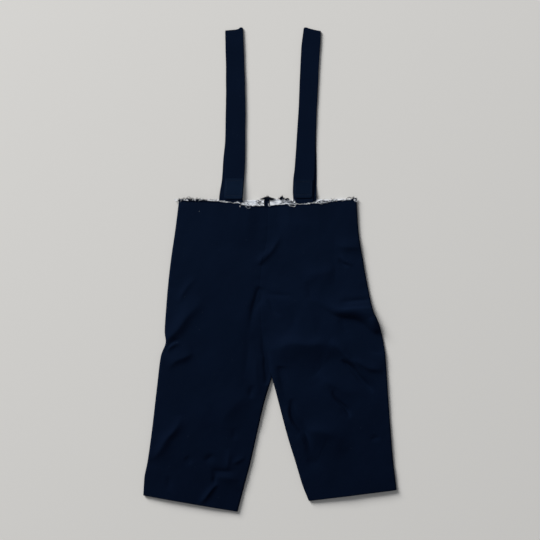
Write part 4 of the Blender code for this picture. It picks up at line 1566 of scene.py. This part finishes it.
    def radii(self, paths: np.ndarray, radius: float, seed: int) -> np.ndarray:
        """The thread's radius along each path, a little uneven and thinner at the free end.

        Args:
            paths: The paths.
            radius: The usual radius in mm.
            seed: Picks the unevenness.

        Returns:
            Radii in mm as (thread, step).
        """
        chance = np.random.default_rng(seed)
        along = np.linspace(0, 1, paths.shape[1])
        uneven = 1 + 0.15 * np.sin(along * chance.uniform(6, 20, (len(paths), 1)))
        thinner = 1 - self.thinner_at_end * along**3
        return radius * chance.uniform(0.7, 1.2, (len(paths), 1)) * uneven * thinner

    def is_on(self, side: Side, x: float) -> bool:
        """Whether a place is on this side of the rise."""
        return (x < self.split_x) == (side is Side.RIGHT)

    def threads(self, side: Side, kind: LooseThreads) -> bpy.types.Object:
        """Makes one side's threads of one kind.

        Args:
            side: Which side.
            kind: The threads.

        Returns:
            The piece.
        """
        groups = [
            self.tangle(row, kind.seed + number)
            for number, row in enumerate(kind.tangles)
            if self.is_on(side, (row.low_x + row.high_x) / 2)
        ]
        groups.append(self.curls([row for row in kind.curls if self.is_on(side, row.x)]))
        strands = [row for row in kind.strands if self.is_on(side, row.line[0][0])]
        if strands:
            groups.append(self.strands(strands, kind.seed + STRAND_SEED))
        groups += [
            self.spray(row, kind.seed + SPRAY_SEED + number)
            for number, row in enumerate(kind.sprays)
            if self.is_on(side, row.x)
        ]
        mesh = ClothMesh(f"waist_{side.value}_{kind.kind}_thread")
        for number, paths in enumerate(groups):
            mesh.add_tubes(paths, self.radii(paths, kind.radius, kind.seed + RADIUS_SEED + number))
        piece = mesh.build(self.finishes[kind.kind])
        return piece

    def lining_ends(self, side: Side, chance: np.random.Generator) -> np.ndarray:
        """Short ends along an interlining's cut edge, which turn steadily as they leave it.

        Args:
            side: Which side.
            chance: The side's draws.

        Returns:
            Paths as (thread, step, xyz).
        """
        lining, shape = self.linings[side], (self.end_count, 1)
        low, high = lining.ends()
        along = np.linspace(0, 1, self.end_steps)
        x = chance.uniform(max(low, self.lining_from_x) + 0.5, high - 0.5, shape)
        lean, turn = chance.normal(0, self.end_lean, shape), chance.normal(0, self.end_curl, shape)
        heading = np.radians(lean + turn * along)
        length = self.end_shortest + self.end_longer * chance.random(shape) ** 2
        step = length / (self.end_steps - 1)
        y = lining.top_at(x) - self.end_root + np.cumsum(np.cos(heading) * step, axis=1)
        z = self.end_z + chance.uniform(0, 0.6, shape) + 0 * y
        return np.stack([x + np.cumsum(np.sin(heading) * step, axis=1), y, z], axis=-1)

    def lining_weft(self, side: Side, chance: np.random.Generator) -> np.ndarray:
        """Loose weft that lies along an interlining just below its cut edge, in sine waves.

        Args:
            side: Which side.
            chance: The side's draws.

        Returns:
            Paths as (thread, step, xyz).
        """
        lining, shape = self.linings[side], (self.weft_count, 1)
        low, high = lining.ends()
        along = np.linspace(0, 1, self.weft_steps)
        x = chance.uniform(max(low, self.lining_from_x) + 4, high - 12, shape)
        x = np.clip(x + chance.uniform(*self.weft_lengths, shape) * along, low, high)
        down = chance.uniform(0, self.weft_depth, shape)
        wave = chance.uniform(0.1, 0.5, shape) * np.sin(x * chance.uniform(0.3, 1.6, shape) + down * 7)
        y = lining.top_at(x) - self.weft_first - down + wave
        return np.stack([x, y, self.weft_z + 0.5 * np.sin(x * 0.9 + down * 5)], axis=-1)

    def lining_threads(self, side: Side) -> bpy.types.Object:
        """Makes the white threads of an interlining.

        Args:
            side: Which side.

        Returns:
            The piece.
        """
        chance = np.random.default_rng(LINING_SEEDS[side])
        mesh = ClothMesh(f"interlining_{side.value}_thread")
        ends, weft = self.lining_ends(side, chance), self.lining_weft(side, chance)
        mesh.add_tubes(ends, self.radii(ends, self.end_radius, LINING_RADIUS_SEED))
        mesh.add_tubes(weft, self.radii(weft, self.weft_radius, LINING_RADIUS_SEED + 10))
        piece = mesh.build(self.finishes["white"])
        return piece

    def allowance(self) -> bpy.types.Object:
        """Makes the turned-open allowance of the centre back seam: two narrow flaps with a ditch between,
        exp(-(distance / width) ** 2), that droop at their edges and ripple in small sine waves.

        Returns:
            The allowance.
        """
        place = np.linspace(-1, 1, self.allowance_columns)
        rows = np.linspace(0, 1, self.allowance_rows)[:, None] ** 1.4
        y = (self.allowance_top_y + 0.5 * np.sin(place * 9)) * (1 - rows) + self.allowance_bottom_y * rows
        x = self.allowance_x + self.allowance_half * place * (1 + 0.05 * np.sin(y * 0.5))
        ditch = self.ditch_depth * np.exp(-((place / self.ditch_width) ** 2))
        flap = self.flap_height - ditch - self.flap_droop * np.abs(place) ** 5
        z = INNER_FLOOR + 0.6 + flap + 0.12 * np.sin(y * 0.9 + place * 3)
        outer = np.stack([x + 0 * y, y, z + 0 * y], axis=-1)
        inner = outer - facing(outer, True) * self.allowance_cloth
        mesh = ClothMesh("back_seam_allowance_cloth")
        mesh.add_shell(outer, inner, np.stack([outer[..., 0], y], axis=-1))
        piece = mesh.build(self.finishes["cloth"])
        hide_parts("back_seam_allowance")
        return piece

    def build(self) -> dict[Side, list[bpy.types.Object]]:
        """Makes every thread of the waist and the allowance.

        Returns:
            Each side's front threads, whose first is the white, and its interlining's threads at the end.
        """
        made: dict[Side, list[bpy.types.Object]] = {}
        for side in Side:
            pieces = [self.threads(side, kind) for kind in (WHITE_THREADS, SHADED_WHITE_THREADS, NAVY_THREADS)]
            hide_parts(f"fray_{side.value}")
            made[side] = [*pieces, self.lining_threads(side)]
        self.allowance()
        return made


def linear(hex_colour: str) -> tuple[float, float, float, float]:
    """Turns an sRGB hex value into linear colour.

    Args:
        hex_colour: Such as "#10192b".

    Returns:
        Red, green, blue and alpha.
    """
    parts = [int(hex_colour[k : k + 2], 16) / 255 for k in (1, 3, 5)]
    made = [v / 12.92 if v <= 0.04045 else ((v + 0.055) / 1.055) ** 2.4 for v in parts]
    return (made[0], made[1], made[2], 1.0)


def add_node(
    tree: bpy.types.NodeTree, kind: str, settings: Optional[dict[str | int, Any]] = None, **links: Any
) -> bpy.types.Node:
    """Adds a node with its settings and links.

    Args:
        tree: The material's tree.
        kind: Blender's name for the node, without the ShaderNode that it starts with.
        settings: Values for its inputs by name or number, or for its own properties.
        links: What feeds an input, by the input's name with _ for a space, or by _ and its number.

    Returns:
        The node.
    """
    node = tree.nodes.new(f"ShaderNode{kind}")
    for name, value in (settings or {}).items():
        if isinstance(name, str) and hasattr(node, name):
            setattr(node, name, value)
        else:
            node.inputs[name].default_value = value
    for name, source in links.items():
        key = int(name[1:]) if name[1:].isdigit() else name.replace("_", " ")
        tree.links.new(source, node.inputs[key])
    return node


def start_material(name: str, inputs: dict[str, Any]) -> tuple[bpy.types.Material, bpy.types.Node]:
    """Makes a material with one shader.

    Args:
        name: Its name.
        inputs: Values for the shader's inputs.

    Returns:
        The material and its shader.
    """
    material = bpy.data.materials.new(name)
    material.use_nodes = True
    shader = material.node_tree.nodes["Principled BSDF"]
    for key, value in inputs.items():
        shader.inputs[key].default_value = value
    return material, shader


def finish_material(
    material: bpy.types.Material,
    shader: bpy.types.Node,
    colour: bpy.types.NodeSocket,
    height: bpy.types.NodeSocket,
    strength: float,
    deep_mm: float,
) -> bpy.types.Material:
    """Feeds the shader its colour and a bump.

    Args:
        material: The material.
        shader: Its shader.
        colour: The socket of the colour.
        height: The socket of the relief, from 0 to 1.
        strength: How much of the bump shows.
        deep_mm: The relief's depth.

    Returns:
        The material.
    """
    tree = material.node_tree
    tree.links.new(colour, shader.inputs["Base Color"])
    bump = add_node(tree, "Bump", {"Strength": strength, "Distance": deep_mm * MM}, Height=height)
    tree.links.new(bump.outputs[0], shader.inputs["Normal"])
    return material


def wave_scale(pitch_mm: float) -> float:
    """The Scale of a wave texture whose bands are pitch_mm apart: 2 pi over 20 pitches in metres."""
    return 2 * math.pi * 1000 / (20 * pitch_mm)


@dataclass(frozen=True)
class SuitingTwill:
    """Wool-blend suiting, woven in a fine twill and piece-dyed navy black.

    It is matt and nearly black. The twill's diagonal ribs are about 0.4 mm apart, and are drawn here at
    1.1 mm so that they show at all. Slow cloudy changes are the pressing marks, fine flecks are fibre ends
    and lint, and the colour is painted darker towards the hems: painted shade for the light that falls off
    down the garment.
    """

    name: str
    deep: str
    lit: str
    # painted shade: towards the hems the colour is multiplied by this, for light that falls off down the
    # garment
    below: str = "#dcdfe4"
    lint: str = "#3a4658"
    sheen_tint: str = "#8fa3c4"
    rib_mm: float = 1.1
    rib_angle: float = 62.0
    roughness: float = 0.86
    specular: float = 0.015
    sheen: float = 0.004
    bump_mm: float = 0.10

    def make(self) -> bpy.types.Material:
        """Builds the node tree: ribs, clouds and grain mix the two tones, and then lint and the painted shade
        towards the hems.

        Returns:
            The material.
        """
        inputs = {
            "Roughness": self.roughness,
            "Specular IOR Level": self.specular,
            "Sheen Weight": self.sheen,
            "Sheen Roughness": 0.5,
            "Sheen Tint": linear(self.sheen_tint),
        }
        material, shader = start_material(self.name, inputs)
        tree = material.node_tree
        cloth = add_node(tree, "UVMap", {"uv_map": "cloth"}).outputs["UV"]
        place = add_node(tree, "TexCoord").outputs["Object"]
        slant = {"Rotation": (0.0, 0.0, math.radians(self.rib_angle))}
        turned = add_node(tree, "Mapping", slant, Vector=cloth)
        bands = {"bands_direction": "X", "Scale": wave_scale(self.rib_mm), "Distortion": 0.8}
        ribs = add_node(
            tree, "TexWave", {**bands, "Detail": 1.0, "Detail Scale": 1.5}, Vector=turned.outputs[0]
        ).outputs["Fac"]
        clouds = add_node(tree, "TexNoise", {"Scale": 14.0, "Detail": 2.0, "Roughness": 0.5}, Vector=place)
        grain = add_node(
            tree, "TexNoise", {"Scale": 700.0, "Detail": 2.0, "Roughness": 0.7}, Vector=cloth
        ).outputs[0]
        flecks = add_node(tree, "TexNoise", {"Scale": 260.0, "Detail": 1.0}, Vector=place)
        few = {"From Min": 0.76, "From Max": 0.86, "To Min": 0.0, "To Max": 0.2}
        fleck = add_node(tree, "MapRange", few, Value=flecks.outputs[0])
        gentle = {"From Min": 0.3, "From Max": 0.7, "To Min": 0.38, "To Max": 0.62}
        tone = add_node(tree, "MapRange", gentle, Value=clouds.outputs[0])
        half = {"operation": "MULTIPLY_ADD", 1: 0.5}
        fine = add_node(tree, "Math", half, _0=grain, _2=tone.outputs[0])
        quarter = {"operation": "MULTIPLY_ADD", 1: 0.25}
        weave = add_node(tree, "Math", quarter, _0=ribs, _2=fine.outputs[0])
        spot = add_node(tree, "SeparateXYZ", _0=place)
        # painted shade: darker from the hips down to the hems
        down_leg = {"From Min": -0.04, "From Max": -0.34, "To Min": 0.0, "To Max": 1.0}
        below = add_node(tree, "MapRange", down_leg, Value=spot.outputs[1])
        less = {"operation": "SUBTRACT", 1: 0.37, "use_clamp": True}
        share = add_node(tree, "Math", less, _0=weave.outputs[0])
        tones = {"data_type": "RGBA", 6: linear(self.deep), 7: linear(self.lit)}
        colour = add_node(tree, "Mix", tones, _0=share.outputs[0])
        lint = {"data_type": "RGBA", 7: linear(self.lint)}
        linty = add_node(tree, "Mix", lint, _0=fleck.outputs[0], _6=colour.outputs[2])
        # multiplies in the painted shade towards the hems
        hem_shade_blend = {"data_type": "RGBA", "blend_type": "MULTIPLY", 7: linear(self.below)}
        hem_shaded = add_node(tree, "Mix", hem_shade_blend, _0=below.outputs[0], _6=linty.outputs[2])
        relief = add_node(tree, "Math", {"operation": "MULTIPLY_ADD", 1: 0.6}, _0=grain, _2=ribs)
        return finish_material(material, shader, hem_shaded.outputs[2], relief.outputs[0], 0.55, self.bump_mm)


@dataclass(frozen=True)
class CottonInterlining:
    """White cotton interlining, plain woven. Its threads are about 0.4 mm apart, drawn at 0.9 mm so that they
    show. It is chalky and matt, with soft darker patches that are painted shade."""

    name: str = "cotton_interlining"
    light: str = "#fbfcfd"
    shade: str = "#e2e7ee"
    thread_mm: float = 0.9
    roughness: float = 0.92
    specular: float = 0.25
    bump_mm: float = 0.25

    def make(self) -> bpy.types.Material:
        """Builds the node tree: warp times weft, and soft patches of painted shade, mix the two tones.

        Returns:
            The material.
        """
        inputs = {"Roughness": self.roughness, "Specular IOR Level": self.specular}
        material, shader = start_material(self.name, inputs)
        tree = material.node_tree
        cloth = add_node(tree, "UVMap", {"uv_map": "cloth"}).outputs["UV"]
        bands = {"Scale": wave_scale(self.thread_mm), "Distortion": 1.2}
        warp, weft = (
            add_node(tree, "TexWave", {"bands_direction": way, **bands}, Vector=cloth).outputs["Fac"]
            for way in "XY"
        )
        woven = add_node(tree, "Math", {"operation": "MULTIPLY"}, _0=warp, _1=weft).outputs[0]
        # painted shade: soft noise patches turn the cotton towards its shade tone
        patches = add_node(tree, "TexNoise", {"Scale": 180.0, "Detail": 3.0}, Vector=cloth)
        shade_range = {"From Min": 0.35, "From Max": 0.7, "To Min": 0.0, "To Max": 0.8}
        painted_shade_patch = add_node(tree, "MapRange", shade_range, Value=patches.outputs[0])
        added = {"operation": "MULTIPLY_ADD", 1: 0.3, "use_clamp": True}
        share = add_node(tree, "Math", added, _0=woven, _2=painted_shade_patch.outputs[0])
        tones = {"data_type": "RGBA", 6: linear(self.shade), 7: linear(self.light)}
        colour = add_node(tree, "Mix", tones, _0=share.outputs[0])
        return finish_material(material, shader, colour.outputs[2], woven, 0.8, self.bump_mm)


@dataclass(frozen=True)
class SpunThread:
    """Spun thread pulled out of a cloth: matt, fibrous, with a slow change of tone along it."""

    name: str
    light: str
    shade: str
    roughness: float = 0.9
    specular: float = 0.2
    bump_mm: float = 0.05

    def make(self) -> bpy.types.Material:
        """Builds the node tree: one noise, as fine as the fibres, mixes the two tones.

        Returns:
            The material.
        """
        inputs = {"Roughness": self.roughness, "Specular IOR Level": self.specular}
        material, shader = start_material(self.name, inputs)
        tree = material.node_tree
        place = add_node(tree, "TexCoord").outputs["Object"]
        fibres = {"Scale": 420.0, "Detail": 3.0, "Roughness": 0.7}
        fibre = add_node(tree, "TexNoise", fibres, Vector=place).outputs[0]
        share = add_node(tree, "MapRange", {"From Min": 0.35, "From Max": 0.65}, Value=fibre)
        tones = {"data_type": "RGBA", 6: linear(self.shade), 7: linear(self.light)}
        colour = add_node(tree, "Mix", tones, _0=share.outputs[0])
        return finish_material(material, shader, colour.outputs[2], fibre, 0.4, self.bump_mm)


@dataclass
class Studio:
    """The pale floor, the world, one soft light and the camera that looks straight down."""

    frame_mm: float = 810.0  # width of the floor that the camera sees
    lens_mm: float = 70.0
    sensor_mm: float = 36.0
    floor_half: float = 30.0  # in metres
    floor_z: float = -0.0002
    floor_colour: str = "#d6d4d0"
    world_colour: str = "#eef1f6"
    world_strength: float = 0.27
    light_place: tuple[float, float, float] = (-6.0, 7.2, 4.5)
    light_size: float = 4.6
    light_watts: float = 1720.0

    def floor(self) -> None:
        """Makes a flat pale floor just under the garment, of matt plaster."""
        mesh = bpy.data.meshes.new("floor")
        half, z = self.floor_half, self.floor_z
        corners = [(-half, -half, z), (half, -half, z), (half, half, z), (-half, half, z)]
        mesh.from_pydata(corners, [], [(0, 1, 2, 3)])
        inputs = {"Base Color": linear(self.floor_colour), "Roughness": 0.9, "Specular IOR Level": 0.1}
        mesh.materials.append(start_material("pale_plaster", inputs)[0])
        floor = bpy.data.objects.new("floor", mesh)
        bpy.context.scene.collection.objects.link(floor)

    def light(self) -> None:
        """Adds the square soft light, which shines at the garment's middle."""
        lamp = bpy.data.lights.new("key", "AREA")
        lamp.shape, lamp.size, lamp.energy = "SQUARE", self.light_size, self.light_watts
        holder = bpy.data.objects.new("key", lamp)
        holder.location = self.light_place
        holder.rotation_euler = (-Vector(self.light_place)).to_track_quat("-Z", "Y").to_euler()
        bpy.context.scene.collection.objects.link(holder)

    def world(self) -> None:
        """Sets the even light from all round, and plain sRGB, which shows a hex value as itself."""
        world = bpy.data.worlds.new("studio")
        world.use_nodes = True
        background = world.node_tree.nodes["Background"]
        background.inputs["Color"].default_value = linear(self.world_colour)
        background.inputs["Strength"].default_value = self.world_strength
        bpy.context.scene.world = world
        bpy.context.scene.view_settings.view_transform = "Standard"

    def camera(self) -> None:
        """Hangs the camera so high that it sees frame_mm: that width times the lens over the sensor."""
        camera = bpy.data.cameras.new("camera")
        camera.lens, camera.sensor_width, camera.sensor_fit = self.lens_mm, self.sensor_mm, "HORIZONTAL"
        camera.clip_start, camera.clip_end = 0.05, 20.0
        holder = bpy.data.objects.new("camera", camera)
        holder.location = (0.0, 0.0, self.frame_mm * MM * self.lens_mm / self.sensor_mm)
        bpy.context.scene.collection.objects.link(holder)
        bpy.context.scene.camera = holder

    def build(self) -> None:
        """Makes the floor, the world, the light and the camera."""
        self.floor()
        self.world()
        self.light()
        self.camera()


@dataclass(frozen=True)
class Finishes:
    """The colours of the garment's cloths and threads."""

    suiting: SuitingTwill = SuitingTwill("navy_suiting_twill", "#050d1c", "#0a1528")
    # the doubled strap ends: lighter copies of the suiting, as painted sheen, stronger on the wearer's right
    turned: SuitingTwill = SuitingTwill("sheen_painted_suiting_twill", "#091424", "#0e1b2e")
    # a dimmer painted sheen, for the wearer's left end
    turned_dim_sheen: SuitingTwill = SuitingTwill("dim_sheen_painted_suiting_twill", "#060f1f", "#0b1728")
    cotton: CottonInterlining = CottonInterlining()
    white: SpunThread = SpunThread("white_spun_thread", "#fcfdff", "#dbe1ea")
    # white cotton thread in painted shade
    shaded_white: SpunThread = SpunThread("shaded_white_spun_thread", "#c6ccd6", "#7c8492")
    navy: SpunThread = SpunThread("navy_spun_thread", "#0b1322", "#050912", 0.9, 0.03)
    sewing: SpunThread = SpunThread("navy_sewing_thread", "#1c2a42", "#0c1526", 0.7, 0.15)


@dataclass
class Trousers:
    """The whole garment: four panels, two straps, two interlinings and what frays at the waist."""

    finishes: Finishes = Finishes()
    back_spacing: float = 2.6
    interlining_top_y: float = 105.3  # the usual height of the cut edge

    def build(self) -> None:
        look = self.finishes
        cloth = look.suiting.make()
        # painted sheen on the doubled ends, lighter on the wearer's right
        sheen_painted_ends = {Side.RIGHT: look.turned.make(), Side.LEFT: look.turned_dim_sheen.make()}
        cotton, sewing = look.cotton.make(), look.sewing.make()
        # the second kind is white cotton in painted shade
        loose = {"white": look.white.make(), "shaded_white": look.shaded_white.make(), "navy": look.navy.make()}
        fronts = {side: LegPanel(side, Face.FRONT, cloth) for side in Side}
        linings = {side: Interlining(side, cotton) for side in Side}
        threads = WaistEdge(fronts, linings, {**loose, "cloth": cloth}).build()
        for side in Side:
            back = LegPanel(side, Face.BACK, cloth, spacing=self.back_spacing).build()
            front, lining = fronts[side].build(), linings[side].build()
            strap = ShoulderStrap(side, cloth, sheen_painted_ends[side], sewing).build()


def main() -> None:
    logging.basicConfig(level=logging.INFO, format="%(message)s")
    Studio().build()
    Trousers().build()


if __name__ == "__main__":
    main()
